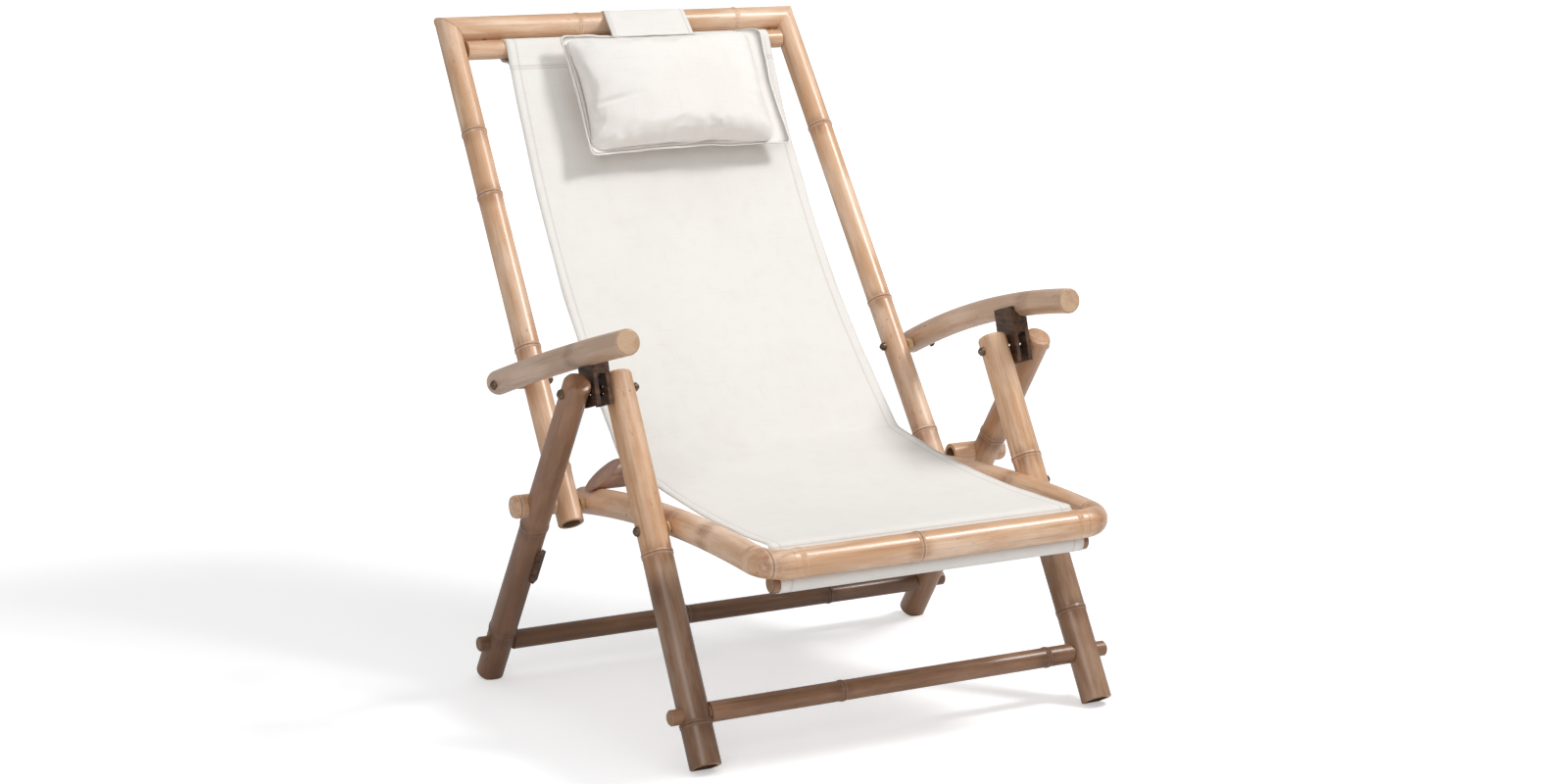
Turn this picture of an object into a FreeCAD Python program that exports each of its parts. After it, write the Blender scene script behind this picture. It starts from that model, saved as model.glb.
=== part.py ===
import FreeCAD, Part
import math
import os
import Sketcher
from FreeCAD import Vector, Rotation, Placement

# Folding recliner of bamboo poles with a canvas sling and a small head pillow.
# Millimetres. +Z is up, the sitter faces -Y, +X is the side on the right in a
# view from the front towards the back. The feet stand on Z = 0.

os.makedirs("parts", exist_ok=True)
doc = FreeCAD.newDocument("recliner")
sheet = doc.addObject("Spreadsheet::Sheet", "Sizes")

SIZES = {
    # Top pivot, shared by front legs, rear legs and armrests
    "pivot_back": -129.2,
    "pivot_height": 458.0,
    # Front legs
    "front_leg_dia": 41.0,
    "front_foot_reach": 247.3,
    "front_leg_splay": 7.0,
    "front_leg_gap": 4.2,
    "front_leg_over": 22.0,
    # Rear legs
    "rear_leg_dia": 38.0,
    "rear_foot_reach": 327.7,
    "rear_leg_lean": 7.0,
    "hanger_room": 25.5,
    "rear_leg_over": 21.0,
    # Stretchers between the feet
    "stretcher_dia": 27.0,
    "tenon_dia": 21.0,
    "front_stretcher_height": 68.0,
    "rear_stretcher_height": 60.0,
    "front_tenon_proud": 14.0,
    "rear_tenon_proud": 12.0,
    # Back frame
    "stile_dia": 36.0,
    "stile_low_back": 152.0,
    "stile_low_height": 248.0,
    "stile_top_back": 580.0,
    "stile_top_height": 903.0,
    "stile_lean": 19.0,
    "stile_gap": 7.3,
    "top_rail_dia": 37.0,
    "upper_bar_dia": 28.0,
    "upper_bar_drop": 36.0,
    "bar_peg_dia": 6.0,
    "bar_peg_left_in": 35.0,
    "bar_peg_right_in": 10.5,
    # Seat frame
    "seat_rail_dia": 38.0,
    "seat_rail_half": 253.0,
    "seat_rail_front": 290.0,
    "seat_rail_height": 280.0,
    "seat_rail_chord": 502.0,
    "seat_rail_tilt": -1.6,
    "seat_rail_rise": 14.0,
    "elbow_bend": 33.0,
    "cross_bar_dia": 40.0,
    "cross_bar_back": 160.0,
    "cross_bar_notch": 2.0,
    "cross_bar_slant": 38.0,
    "lower_bar_dia": 24.0,
    "lower_bar_behind": 21.0,
    "lower_bar_below": 28.0,
    "lower_bar_in": 16.0,
    "lower_peg_in": 4.5,
    "lower_peg_dia": 5.0,
    # Pivot heights on the seat and the arm
    "front_seat_pivot_height": 286.0,
    "stile_seat_pivot_height": 271.0,
    "arm_pivot_drop": 29.0,
    # Armrests
    "arm_dia": 35.0,
    "arm_gap": 9.75,
    "arm_rear_back": 304.0,
    "arm_rear_drop": 33.0,
    "arm_chord": 438.0,
    "arm_tilt": 15.1,
    "arm_left_rise": 3.5,
    "arm_right_rise": 16.0,
    # Hanger under the armrest
    "hanger_long": 44.0,
    "hanger_wall": 6.0,
    "hanger_below": 20.0,
    "hanger_web_low": 21.0,
    "hanger_clear": 0.4,
    "hanger_hole_dia": 17.0,
    # Stop peg let into each rear leg
    "stop_dia": 32.0,
    "stop_below_pivot": -6.0,
    "stop_inward": 52.4,
    "stop_left_inward": 24.0,
    "stop_outward": 36.6,
    "stop_gap": 0.3,
    "batten_long": 57.0,
    "batten_wide": 12.0,
    "batten_thick": 5.5,
    "batten_start": 76.0,
    # Hardware
    "bolt_dia": 8.0,
    "bolt_play": 0.05,
    "bolt_head_dia": 14.0,
    "bolt_head_high": 5.0,
    "nut_dia": 12.0,
    "nut_high": 5.5,
    "spacer_dia": 18.0,
    "seat_gap": 0.3,
    "screw_dia": 4.0,
    "screw_head_dia": 8.0,
    # Bamboo
    "culm_wall": 6.0,
    "hollow_deep": 46.0,
    "ring_wide": 9.0,
    "ring_high": 1.1,
    "end_round": 5.0,
    # Canvas
    "canvas_thick": 1.6,
    "sling_side_room": 6.0,
    "sling_taper": 9.0,
    "sling_top_shift": 16.0,
    "sling_seat_height": 294.0,
    "sling_hang": 38.0,
    "sling_sag": 8.0,
    # Head pillow
    "pillow_wide": 332.0,
    "pillow_tall": 190.0,
    "pillow_thick": 74.0,
    "pillow_side": 40.0,
    "pillow_skew": 5.0,
    "pillow_drop": 2.0,
    "pillow_rim": 30.0,
    "pillow_edge": 4.0,
    "strap_wide": 134.0,
    "strap_side": 34.0,
    "strap_thick": 2.0,
    "strap_tail": 118.0,
}

for row, alias in enumerate(SIZES, start=1):
    sheet.set("A%d" % row, str(SIZES[alias]))
    sheet.setAlias("A%d" % row, alias)
doc.recompute()


class Size:
    """A number together with the sheet expression that gives it."""

    def __init__(self, value, text):
        self.v = float(value)
        self.t = text

    def _two(self, other, sign, swap=False):
        if not isinstance(other, Size):
            other = Size(other, "(%.9g)" % other)
        a, b = (other, self) if swap else (self, other)
        values = {"+": a.v + b.v, "-": a.v - b.v, "*": a.v * b.v}
        value = values[sign] if sign in values else a.v / b.v
        return Size(value, "(%s %s %s)" % (a.t, sign, b.t))

    def __add__(self, other):
        return self._two(other, "+")

    def __radd__(self, other):
        return self._two(other, "+", True)

    def __sub__(self, other):
        return self._two(other, "-")

    def __rsub__(self, other):
        return self._two(other, "-", True)

    def __mul__(self, other):
        return self._two(other, "*")

    def __rmul__(self, other):
        return self._two(other, "*", True)

    def __truediv__(self, other):
        return self._two(other, "/")


def size(alias):
    return Size(getattr(sheet, alias), "Sizes." + alias)


def val(alias):
    return float(getattr(sheet, alias))


def plain(number):
    return Size(number, "(%.9g)" % number)


NODES = {}
SIDES = (("left", -1.0), ("right", 1.0))


def keep(node, obj):
    obj.Label = node
    NODES[node] = obj
    return obj


def bind(obj, prop, value):
    setattr(obj, prop, value.v)
    obj.setExpression(prop, value.t)


def frame_plane(body, role):
    for feature in body.Origin.OriginFeatures:
        if feature.Role == role:
            return feature
    return None


def turned(name, points, axis="V_Axis"):
    """A body turned about its own Z (or X) from a closed outline.

    Each point is (across, along) for Z and (along, across) for X.
    """
    body = doc.addObject("PartDesign::Body", name)
    sketch = body.newObject("Sketcher::SketchObject", name + "_outline")
    sketch.AttachmentSupport = (frame_plane(body, "XZ_Plane"), [""])
    sketch.MapMode = "FlatFace"
    count = len(points)
    ends = [Vector(p[0].v, p[1].v, 0) for p in points]
    for i in range(count):
        sketch.addGeometry(Part.LineSegment(ends[i], ends[(i + 1) % count]), False)
    rules = []
    named = []
    for i in range(count):
        rules.append(Sketcher.Constraint("Coincident", i, 2, (i + 1) % count, 1))
    for i, point in enumerate(points):
        for k, kind, line in ((0, "DistanceX", -2), (1, "DistanceY", -1)):
            if abs(point[k].v) < 1e-9:
                rules.append(Sketcher.Constraint("PointOnObject", i, 1, line))
            else:
                named.append((len(rules), "p%d%s" % (i, "xy"[k]), point[k]))
                rules.append(Sketcher.Constraint(kind, -1, 1, i, 1, point[k].v))
    sketch.addConstraint(rules)
    for index, label, value in named:
        sketch.renameConstraint(index, label)
        sketch.setExpression("Constraints." + label, value.t)
    revolve = body.newObject("PartDesign::Revolution", name + "_turn")
    revolve.Profile = sketch
    revolve.ReferenceAxis = (sketch, [axis])
    revolve.Angle = 360.0
    body.Tip = revolve
    return body


def pole(name, long, low_dia, top_dia, rings=(), low="hollow", top="hollow", wall=None):
    """A bamboo pole along Z: tapered, ringed at its nodes, hollow or solid at each end."""
    low_r = low_dia / 2
    top_r = top_dia / 2
    wall = wall or size("culm_wall")
    deep = size("hollow_deep")
    half = size("ring_wide") / 2
    high = size("ring_high")
    soft = size("end_round")
    zero = plain(0)

    def radius(z):
        return low_r + (top_r - low_r) * (z / long)

    points = []
    if low == "hollow":
        points += [(zero, deep), (low_r - wall, deep), (low_r - wall, zero)]
        points += [(low_r - 1, zero), (low_r, plain(1))]
    elif low == "round":
        points += [(zero, zero), (low_r - soft, zero)]
        points += [(low_r - soft * 0.3, soft * 0.3), (low_r, soft)]
    else:
        points += [(zero, zero), (low_r - 0.6, zero), (low_r, plain(0.6))]
    for share in rings:
        z = long * share
        points.append((radius(z - half), z - half))
        points.append((radius(z) + high, z - half * 0.3))
        points.append((radius(z) + high * 0.3, z))
        points.append((radius(z) + high, z + half * 0.3))
        points.append((radius(z + half), z + half))
    if top == "hollow":
        points += [(top_r, long - 1), (top_r - 1, long), (top_r - wall, long)]
        points += [(top_r - wall, long - deep), (zero, long - deep)]
    elif top == "round":
        points += [(top_r, long - soft), (top_r - soft * 0.3, long - soft * 0.3)]
        points += [(top_r - soft, long), (zero, long)]
    else:
        points += [(top_r, long - 0.6), (top_r - 0.6, long), (zero, long)]
    return turned(name, points)


def along(start, end):
    """Placement that lays a piece's own Z from start towards end, own X kept level."""
    z_dir = (end - start).normalize()
    x_dir = Vector(1, 0, 0) - z_dir * z_dir.x
    x_dir.normalize()
    y_dir = z_dir.cross(x_dir)
    return Placement(start, Rotation(x_dir, y_dir, z_dir, "ZXY"))


def rod(name, radius, start, end):
    """Plain cylinder between two points, used for holes."""
    obj = doc.addObject("Part::Cylinder", name)
    bind(obj, "Radius", radius)
    obj.Height = (end - start).Length
    z_dir = (end - start).normalize()
    obj.Placement = Placement(start, Rotation(Vector(0, 0, 1), z_dir))
    return obj


def cut(name, base, tools):
    """Base less the tools."""
    for number, tool in enumerate(tools):
        step = doc.addObject("Part::Cut", "%s_cut%d" % (name, number))
        step.Base = base
        step.Tool = tool
        base = step
    return base


def group(name, members):
    obj = doc.addObject("Part::Compound", name)
    obj.Links = members
    return obj


def half_space(name, point, normal):
    """Large box on the side of a plane that the normal points to."""
    box = doc.addObject("Part::Box", name)
    reach = 160.0
    box.Length = 2 * reach
    box.Width = 2 * reach
    box.Height = reach
    turn = Rotation(Vector(0, 0, 1), normal)
    corner = turn.multVec(Vector(-reach, -reach, 0))
    box.Placement = Placement(point + corner, turn)
    return box


def arc_pole(name, start, end, rise, dia, upward):
    """Pole bent to an arc in a side plane, bulging by rise towards upward."""
    chord = (end - start).Length
    way = (end - start).normalize()
    side = upward - way * upward.dot(way)
    side.normalize()
    bend = (chord * chord / 4 + rise.v * rise.v) / (2 * rise.v)
    mid = (start + end) * 0.5
    centre = mid - side * (bend - rise.v)
    to_start = (start - centre).normalize()
    spin = to_start.cross((end - centre).normalize()).normalize()
    obj = doc.addObject("Part::Torus", name)
    obj.Radius1 = bend
    bind(obj, "Radius2", dia / 2)
    obj.Angle1 = -180.0
    obj.Angle2 = 180.0
    obj.Angle3 = 2 * math.degrees(math.asin(chord / 2 / bend))
    y_dir = spin.cross(to_start)
    obj.Placement = Placement(centre, Rotation(to_start, y_dir, spin, "ZXY"))
    return obj


def rounded(name, base, places):
    """Base with the end edges nearest each place rounded."""
    doc.recompute()
    obj = doc.addObject("Part::Fillet", name)
    obj.Base = base
    picked = []
    for place, radius in places:
        for number, edge in enumerate(base.Shape.Edges, start=1):
            box = edge.BoundBox
            near = (Vector(box.Center) - place).Length < 4.0
            whole = edge.isClosed() and edge.Length > 60
            if near and whole:
                picked.append((number, radius, radius))
    obj.Edges = picked
    return obj


# Named points in the side view, as (back, height) from the floor below the top pivot.
PIVOT_Y = val("pivot_back")
PIVOT_Z = val("pivot_height")


def at(half, back, height):
    return Vector(half, PIVOT_Y + back, height)


def lerp(a, b, t):
    return a + (b - a) * t


# Side pieces lie in layers outwards from the seat rails, a named gap between each.
F_Z = val("front_seat_pivot_height")
S_Z = val("stile_seat_pivot_height")
A_Z = PIVOT_Z - val("arm_pivot_drop")
RAIL_OUT = val("seat_rail_half") + val("seat_rail_dia") / 2
FRONT_AT_SEAT = RAIL_OUT + val("front_leg_gap") + val("front_leg_dia") / 2
STILE_AT_SEAT = RAIL_OUT + val("stile_gap") + val("stile_dia") / 2


def front_half(height):
    return FRONT_AT_SEAT + val("front_leg_splay") * (F_Z - height) / PIVOT_Z


REAR_AT_TOP = front_half(PIVOT_Z) + val("front_leg_dia") / 2
REAR_AT_TOP = REAR_AT_TOP + val("hanger_room") + val("rear_leg_dia") / 2


def front_axis(sign, height):
    """Point on a front leg's centre line at a height."""
    t = height / PIVOT_Z
    return at(sign * front_half(height), -val("front_foot_reach") * (1 - t), height)


def rear_axis(sign, height):
    t = height / PIVOT_Z
    half = REAR_AT_TOP - val("rear_leg_lean") * (1 - t)
    return at(sign * half, val("rear_foot_reach") * (1 - t), height)


def stile_axis(sign, height):
    low = val("stile_low_height")
    run = val("stile_top_height") - low
    t = (height - low) / run
    half = STILE_AT_SEAT - val("stile_lean") * (height - S_Z) / run
    back = lerp(val("stile_low_back"), val("stile_top_back"), t)
    return at(sign * half, back, height)


BOLT_HOLE = size("bolt_dia") / 2 + size("bolt_play")


def cross_hole(name, sign, back_y, height, half, dia, radius=None):
    """Hole along X right through a side piece whose centre line is at half."""
    reach = val(dia) / 2 + 8
    a = Vector(sign * (half - reach), back_y, height)
    b = Vector(sign * (half + reach), back_y, height)
    return rod(name, radius or BOLT_HOLE, a, b)


# Pivot places in the side view
TOP_Y = PIVOT_Y
TOP_Z = PIVOT_Z
F_Y = front_axis(1, F_Z).y
S_Y = stile_axis(1, S_Z).y
A_Y = stile_axis(1, A_Z).y
ARM_HALF = stile_axis(1, A_Z).x + val("stile_dia") / 2 + val("arm_gap") + val("arm_dia") / 2

# Front legs
# Bamboo poles leaning back from their feet to the top pivot. Their lower ends are
# cut square, open and dark inside, with the edge that meets the floor worn level.
front_stretcher_z = val("front_stretcher_height")
front_stretcher_y = front_axis(1, front_stretcher_z).y
for side, sign in SIDES:
    foot = front_axis(sign, 0)
    top = front_axis(sign, PIVOT_Z)
    way = (top - foot).normalize()
    sink = val("front_leg_dia") / 2 * math.tan(math.acos(way.z)) - 3.0
    start = foot + way * sink
    long = (top - start).Length + val("front_leg_over")
    rings = (0.105, 0.53) if sign < 0 else (0.24, 0.66)
    raw = pole("front_leg_%s_pole" % side, plain(long), size("front_leg_dia") + 1,
               size("front_leg_dia") - 0.5, rings, "hollow", "round")
    raw.Placement = along(start, start + way)
    low_cut = half_space("front_leg_%s_floor" % side, Vector(foot.x, foot.y, 0), Vector(0, 0, -1))
    holes = [low_cut]
    holes.append(cross_hole("front_leg_%s_top_hole" % side, sign, TOP_Y, TOP_Z,
                            front_half(TOP_Z), "front_leg_dia"))
    holes.append(cross_hole("front_leg_%s_seat_hole" % side, sign, F_Y, F_Z,
                            front_half(F_Z), "front_leg_dia"))
    tenon_hole = size("tenon_dia") / 2 + size("bolt_play") * 2
    holes.append(cross_hole("front_leg_%s_mortise" % side, sign, front_stretcher_y,
                            front_stretcher_z, front_half(front_stretcher_z),
                            "front_leg_dia", tenon_hole))
    keep("front_leg_" + side, cut("front_leg_" + side, raw, holes))

# Rear legs
# Slimmer poles that share the top pivot and spread to the back, outside everything.
rear_stretcher_z = val("rear_stretcher_height")
rear_stretcher_y = rear_axis(1, rear_stretcher_z).y
stile_way = (stile_axis(1, val("stile_top_height")) - stile_axis(1, val("stile_low_height")))
stile_side = Vector(0, stile_way.y, stile_way.z).normalize()
stile_front = Vector(0, -stile_side.z, stile_side.y)
stop_reach = (val("stile_dia") + val("stop_dia")) / 2 + val("stop_gap") + 0.3
stop_centre = Vector(0, S_Y, S_Z) + stile_side * val("stop_below_pivot") + stile_front * stop_reach
for side, sign in SIDES:
    foot = rear_axis(sign, 0)
    top = rear_axis(sign, PIVOT_Z)
    way = (top - foot).normalize()
    sink = val("rear_leg_dia") / 2 * math.tan(math.acos(way.z)) - 3.0
    start = foot + way * sink
    long = (top - start).Length + val("rear_leg_over")
    rings = (0.16, 0.53) if sign < 0 else (0.22, 0.66)
    raw = pole("rear_leg_%s_pole" % side, plain(long), size("rear_leg_dia") + 1,
               size("rear_leg_dia") - 0.5, rings, "hollow", "round")
    raw.Placement = along(start, start + way)
    tools = [half_space("rear_leg_%s_floor" % side, Vector(foot.x, foot.y, 0), Vector(0, 0, -1))]
    tools.append(cross_hole("rear_leg_%s_top_hole" % side, sign, TOP_Y, TOP_Z,
                            REAR_AT_TOP, "rear_leg_dia"))
    tools.append(cross_hole("rear_leg_%s_mortise" % side, sign, rear_stretcher_y,
                            rear_stretcher_z, abs(rear_axis(1, rear_stretcher_z).x),
                            "rear_leg_dia", tenon_hole))
    tools.append(cross_hole("rear_leg_%s_notch" % side, sign, stop_centre.y, stop_centre.z,
                            rear_axis(1, stop_centre.z).x, "rear_leg_dia",
                            size("stop_dia") / 2 + size("bolt_play") * 2))
    keep("rear_leg_" + side, cut("rear_leg_" + side, raw, tools))

    # Stop peg: short open length of bamboo let into the leg. The right one reaches
    # in front of the back frame and keeps the legs from spreading further. The left
    # one ends just inside its leg.
    inward = "stop_left_inward" if sign < 0 else "stop_inward"
    stop = pole("stop_peg_%s" % side, size(inward) + size("stop_outward"),
                size("stop_dia"), size("stop_dia"), (), "hollow", "round")
    inner_half = rear_axis(1, stop_centre.z).x - val(inward)
    inner = Vector(sign * inner_half, stop_centre.y, stop_centre.z)
    stop.Placement = Placement(inner, Rotation(Vector(0, 0, 1), Vector(sign, 0, 0)))
    keep("stop_peg_" + side, stop)

    # Dark batten along the inner front of the leg, below the stop peg.
    batten = doc.addObject("Part::Box", "batten_%s_blank" % side)
    bind(batten, "Length", size("batten_thick") + 8)
    bind(batten, "Width", size("batten_wide"))
    bind(batten, "Height", size("batten_long"))
    drop = (rear_axis(sign, stop_centre.z) - foot).Length - val("batten_start")
    low = foot + way * (drop - val("batten_long"))
    inward = Vector(-sign, 0, 0) - way * (way.x * -sign)
    inward.normalize()
    ahead = way.cross(Vector(1, 0, 0)).normalize()
    if ahead.y > 0:
        ahead = ahead * -1
    out = (inward * 0.60 + ahead * 0.80).normalize()
    turn = Rotation(out, way.cross(out), way, "ZXY")
    begin = val("rear_leg_dia") / 2 - 8 + 0.8
    base = low + out * begin - way.cross(out) * (val("batten_wide") / 2)
    batten.Placement = Placement(base, turn)
    cores = [rod("batten_%s_core" % side, size("rear_leg_dia") / 2 + 0.75, foot, top)]
    for number, share in enumerate(rings):
        mid = start + way * (long * share)
        cores.append(rod("batten_%s_ring_%d" % (side, number),
                         size("rear_leg_dia") / 2 + size("ring_high") + 0.75,
                         mid - way * val("ring_wide"), mid + way * val("ring_wide")))
    keep("rear_leg_batten_" + side, cut("rear_leg_batten_" + side, batten, cores))


def stretcher(name, reach, leg_inner, y, z, rings):
    """Cross pole with a thinner tenon through each leg."""
    tip = plain(reach)
    body_r = size("stretcher_dia") / 2
    tenon_r = size("tenon_dia") / 2
    shoulder = plain(leg_inner) - size("seat_gap")
    full = tip * 2
    zero = plain(0)
    first = tip - shoulder
    points = [(zero, zero), (tenon_r - 2, zero), (tenon_r, plain(2)), (tenon_r, first)]
    points += [(body_r - 1, first), (body_r, first + 1)]
    half = size("ring_wide") / 2
    high = size("ring_high")
    for share in rings:
        z_mid = full * share
        points += [(body_r, z_mid - half), (body_r + high, z_mid - half * 0.3)]
        points += [(body_r + high * 0.3, z_mid), (body_r + high, z_mid + half * 0.3)]
        points.append((body_r, z_mid + half))
    points += [(body_r, full - first - 1), (body_r - 1, full - first)]
    points += [(tenon_r, full - first), (tenon_r, full - 2), (tenon_r - 2, full), (zero, full)]
    obj = turned(name, points)
    start = Vector(-reach, y, z)
    obj.Placement = Placement(start, Rotation(Vector(0, 0, 1), Vector(1, 0, 0)))
    return obj


front_x = abs(front_axis(1, front_stretcher_z).x)
rear_x = abs(rear_axis(1, rear_stretcher_z).x)
front_leg_r = val("front_leg_dia") / 2 + 0.5
rear_leg_r = val("rear_leg_dia") / 2 + 0.5
keep("front_stretcher", stretcher(
    "front_stretcher", front_x + front_leg_r + val("front_tenon_proud"), front_x - front_leg_r,
    front_stretcher_y, front_stretcher_z, (0.375, 0.855)))
keep("rear_stretcher", stretcher(
    "rear_stretcher", rear_x + rear_leg_r + val("rear_tenon_proud"), rear_x - rear_leg_r,
    rear_stretcher_y, rear_stretcher_z, (0.425, 0.735)))

# Back frame
# Two long stiles, mitred to a top rail. A thinner bar for the sling lies below it.
for side, sign in SIDES:
    low = stile_axis(sign, val("stile_low_height"))
    corner = stile_axis(sign, val("stile_top_height"))
    way = (corner - low).normalize()
    long = (corner - low).Length + 40
    rings = (0.10, 0.323, 0.617, 0.741) if sign < 0 else (0.09, 0.354, 0.717)
    raw = pole("back_stile_%s_pole" % side, plain(long), size("stile_dia") + 0.5,
               size("stile_dia") - 0.5, rings, "hollow", "solid")
    raw.Placement = along(low, corner)
    rail_way = Vector(-sign, 0, 0)
    normal = (rail_way - way * -1).normalize()
    tools = [half_space("back_stile_%s_mitre" % side, corner, normal)]
    tools.append(cross_hole("back_stile_%s_seat_hole" % side, sign, S_Y, S_Z,
                            stile_axis(1, S_Z).x, "stile_dia"))
    tools.append(cross_hole("back_stile_%s_arm_hole" % side, sign, A_Y, A_Z,
                            stile_axis(1, A_Z).x, "stile_dia"))
    keep("back_stile_" + side, cut("back_stile_" + side, raw, tools))

left_corner = stile_axis(-1, val("stile_top_height"))
right_corner = stile_axis(1, val("stile_top_height"))
overrun = Vector(40, 0, 0)
rail = pole("back_top_rail_pole", plain((right_corner - left_corner).Length + 80),
            size("top_rail_dia"), size("top_rail_dia"), (0.385, 0.80), "solid", "solid")
rail.Placement = Placement(left_corner - overrun, Rotation(Vector(0, 0, 1), Vector(1, 0, 0)))
tools = []
for side, sign in SIDES:
    low = stile_axis(sign, val("stile_low_height"))
    corner = stile_axis(sign, val("stile_top_height"))
    way = (corner - low).normalize()
    normal = (way * -1 - Vector(-sign, 0, 0)).normalize()
    tools.append(half_space("back_top_rail_%s_mitre" % side, corner, normal))

upper_y = left_corner.y - stile_side.y * val("upper_bar_drop")
upper_z = left_corner.z - stile_side.z * val("upper_bar_drop")
peg_r = size("bar_peg_dia") / 2
pegs = []
bar_tools = []
for side, sign in SIDES:
    peg_half = stile_axis(1, upper_z).x - val("stile_dia") / 2 - val("bar_peg_%s_in" % side)
    into_rail = Vector(sign * peg_half, left_corner.y, left_corner.z)
    into_bar = Vector(sign * peg_half, upper_y, upper_z)
    tools.append(rod("top_rail_%s_peg_hole" % side, peg_r + size("bolt_play"), into_rail, into_bar))
    bar_tools.append(rod("upper_bar_%s_peg_hole" % side, peg_r + size("bolt_play"),
                         into_rail, into_bar - stile_side * 6))
    pegs.append(rod("upper_bar_peg_%s" % side, peg_r, into_rail + stile_side * -0.5,
                    into_bar - stile_side * 5.5))
keep("back_top_rail", cut("back_top_rail", rail, tools))
bar_half = stile_axis(1, upper_z).x - val("stile_dia") / 2 - 0.6
bar = pole("sling_upper_bar_pole", plain(2 * bar_half), size("upper_bar_dia"),
           size("upper_bar_dia"), (), "solid", "solid")
bar.Placement = Placement(Vector(-bar_half, upper_y, upper_z), Rotation(Vector(0, 0, 1), Vector(1, 0, 0)))
keep("sling_upper_bar", cut("sling_upper_bar", bar, bar_tools))
keep("upper_bar_pegs", group("upper_bar_pegs", pegs))

# Seat frame
# Two bent side rails and a front rail that turns back at both ends to meet them.
tilt = math.radians(val("seat_rail_tilt"))
rail_front = Vector(0, PIVOT_Y - val("seat_rail_front"), val("seat_rail_height"))
rail_rear = rail_front + Vector(0, math.cos(tilt), math.sin(tilt)) * val("seat_rail_chord")
rise = val("seat_rail_rise")
chord = val("seat_rail_chord")
rail_bend = (chord * chord / 4 + rise * rise) / (2 * rise)
nose = tilt + math.asin(chord / 2 / rail_bend)
nose_way = Vector(0, -math.cos(nose), -math.sin(nose))
elbow = val("elbow_bend")
front_line = rail_front + nose_way * elbow
FRONT_Y = front_line.y
FRONT_Z = front_line.z
for side, sign in SIDES:
    shift = Vector(sign * val("seat_rail_half"), 0, 0)
    raw = arc_pole("seat_side_rail_%s_bend" % side, rail_front + shift, rail_rear + shift,
                   size("seat_rail_rise"), size("seat_rail_dia"), Vector(0, 0, 1))
    soft = rounded("seat_side_rail_%s_soft" % side, raw, [(rail_rear + shift, 7.0)])
    tools = [cross_hole("seat_side_rail_%s_front_hole" % side, sign, F_Y, F_Z,
                        val("seat_rail_half"), "seat_rail_dia")]
    tools.append(cross_hole("seat_side_rail_%s_rear_hole" % side, sign, S_Y, S_Z,
                            val("seat_rail_half"), "seat_rail_dia"))
    keep("seat_side_rail_" + side, cut("seat_side_rail_" + side, soft, tools))

# Cross bar under the bend of the sling, notched over the two side rails.
rail_arc = raw.Placement.Base
bar_back = PIVOT_Y + val("cross_bar_back")
rail_line = math.sqrt(raw.Radius1.Value ** 2 - (bar_back - rail_arc.y) ** 2) + rail_arc.z
bar_rise = (val("seat_rail_dia") + val("cross_bar_dia")) / 2 - val("cross_bar_notch")
CROSS_Y = bar_back
CROSS_Z = rail_line + bar_rise
cross_half = val("seat_rail_half") + val("seat_rail_dia") / 2
cross = pole("seat_cross_bar_pole", plain(2 * cross_half), size("cross_bar_dia"),
             size("cross_bar_dia"), (), "solid", "solid")
cross.Placement = Placement(Vector(-cross_half, CROSS_Y, CROSS_Z),
                            Rotation(Vector(0, 0, 1), Vector(1, 0, 0)))
fall = (rail_line - rail_arc.z) / (bar_back - rail_arc.y)
rail_way = Vector(0, fall, -1).normalize() * 60
slant = math.radians(val("cross_bar_slant"))
cross_tools = []
for side, sign in SIDES:
    seat_at = Vector(sign * val("seat_rail_half"), bar_back, rail_line)
    cross_tools.append(rod("cross_bar_%s_notch" % side, size("seat_rail_dia") / 2 + 0.12,
                           seat_at - rail_way, seat_at + rail_way))
    tip = Vector(sign * (cross_half - 1), CROSS_Y, CROSS_Z - val("cross_bar_dia") / 2)
    cross_tools.append(half_space("cross_bar_%s_slant" % side, tip,
                                  Vector(sign * math.sin(slant), 0, math.cos(slant))))
keep("seat_cross_bar", cut("seat_cross_bar", cross, cross_tools))

straight_half = val("seat_rail_half") - elbow
middle = pole("seat_front_rail_pole", plain(2 * straight_half), size("seat_rail_dia"),
              size("seat_rail_dia"), (0.028, 0.42, 0.972), "solid", "solid")
middle.Placement = Placement(Vector(-straight_half, FRONT_Y, FRONT_Z),
                             Rotation(Vector(0, 0, 1), Vector(1, 0, 0)))
elbows = []
for side, sign in SIDES:
    bend = doc.addObject("Part::Torus", "seat_front_rail_%s_elbow" % side)
    bind(bend, "Radius1", size("elbow_bend"))
    bind(bend, "Radius2", size("seat_rail_dia") / 2)
    bend.Angle1 = -180.0
    bend.Angle2 = 180.0
    bend.Angle3 = 90.0
    centre = Vector(sign * straight_half, 0, 0) + rail_front
    x_dir = Vector(sign, 0, 0)
    y_dir = nose_way
    bend.Placement = Placement(centre, Rotation(x_dir, y_dir, x_dir.cross(y_dir), "ZXY"))
    elbows.append(bend)
front_rail = doc.addObject("Part::MultiFuse", "seat_front_rail_whole")
front_rail.Shapes = [middle] + elbows

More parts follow.
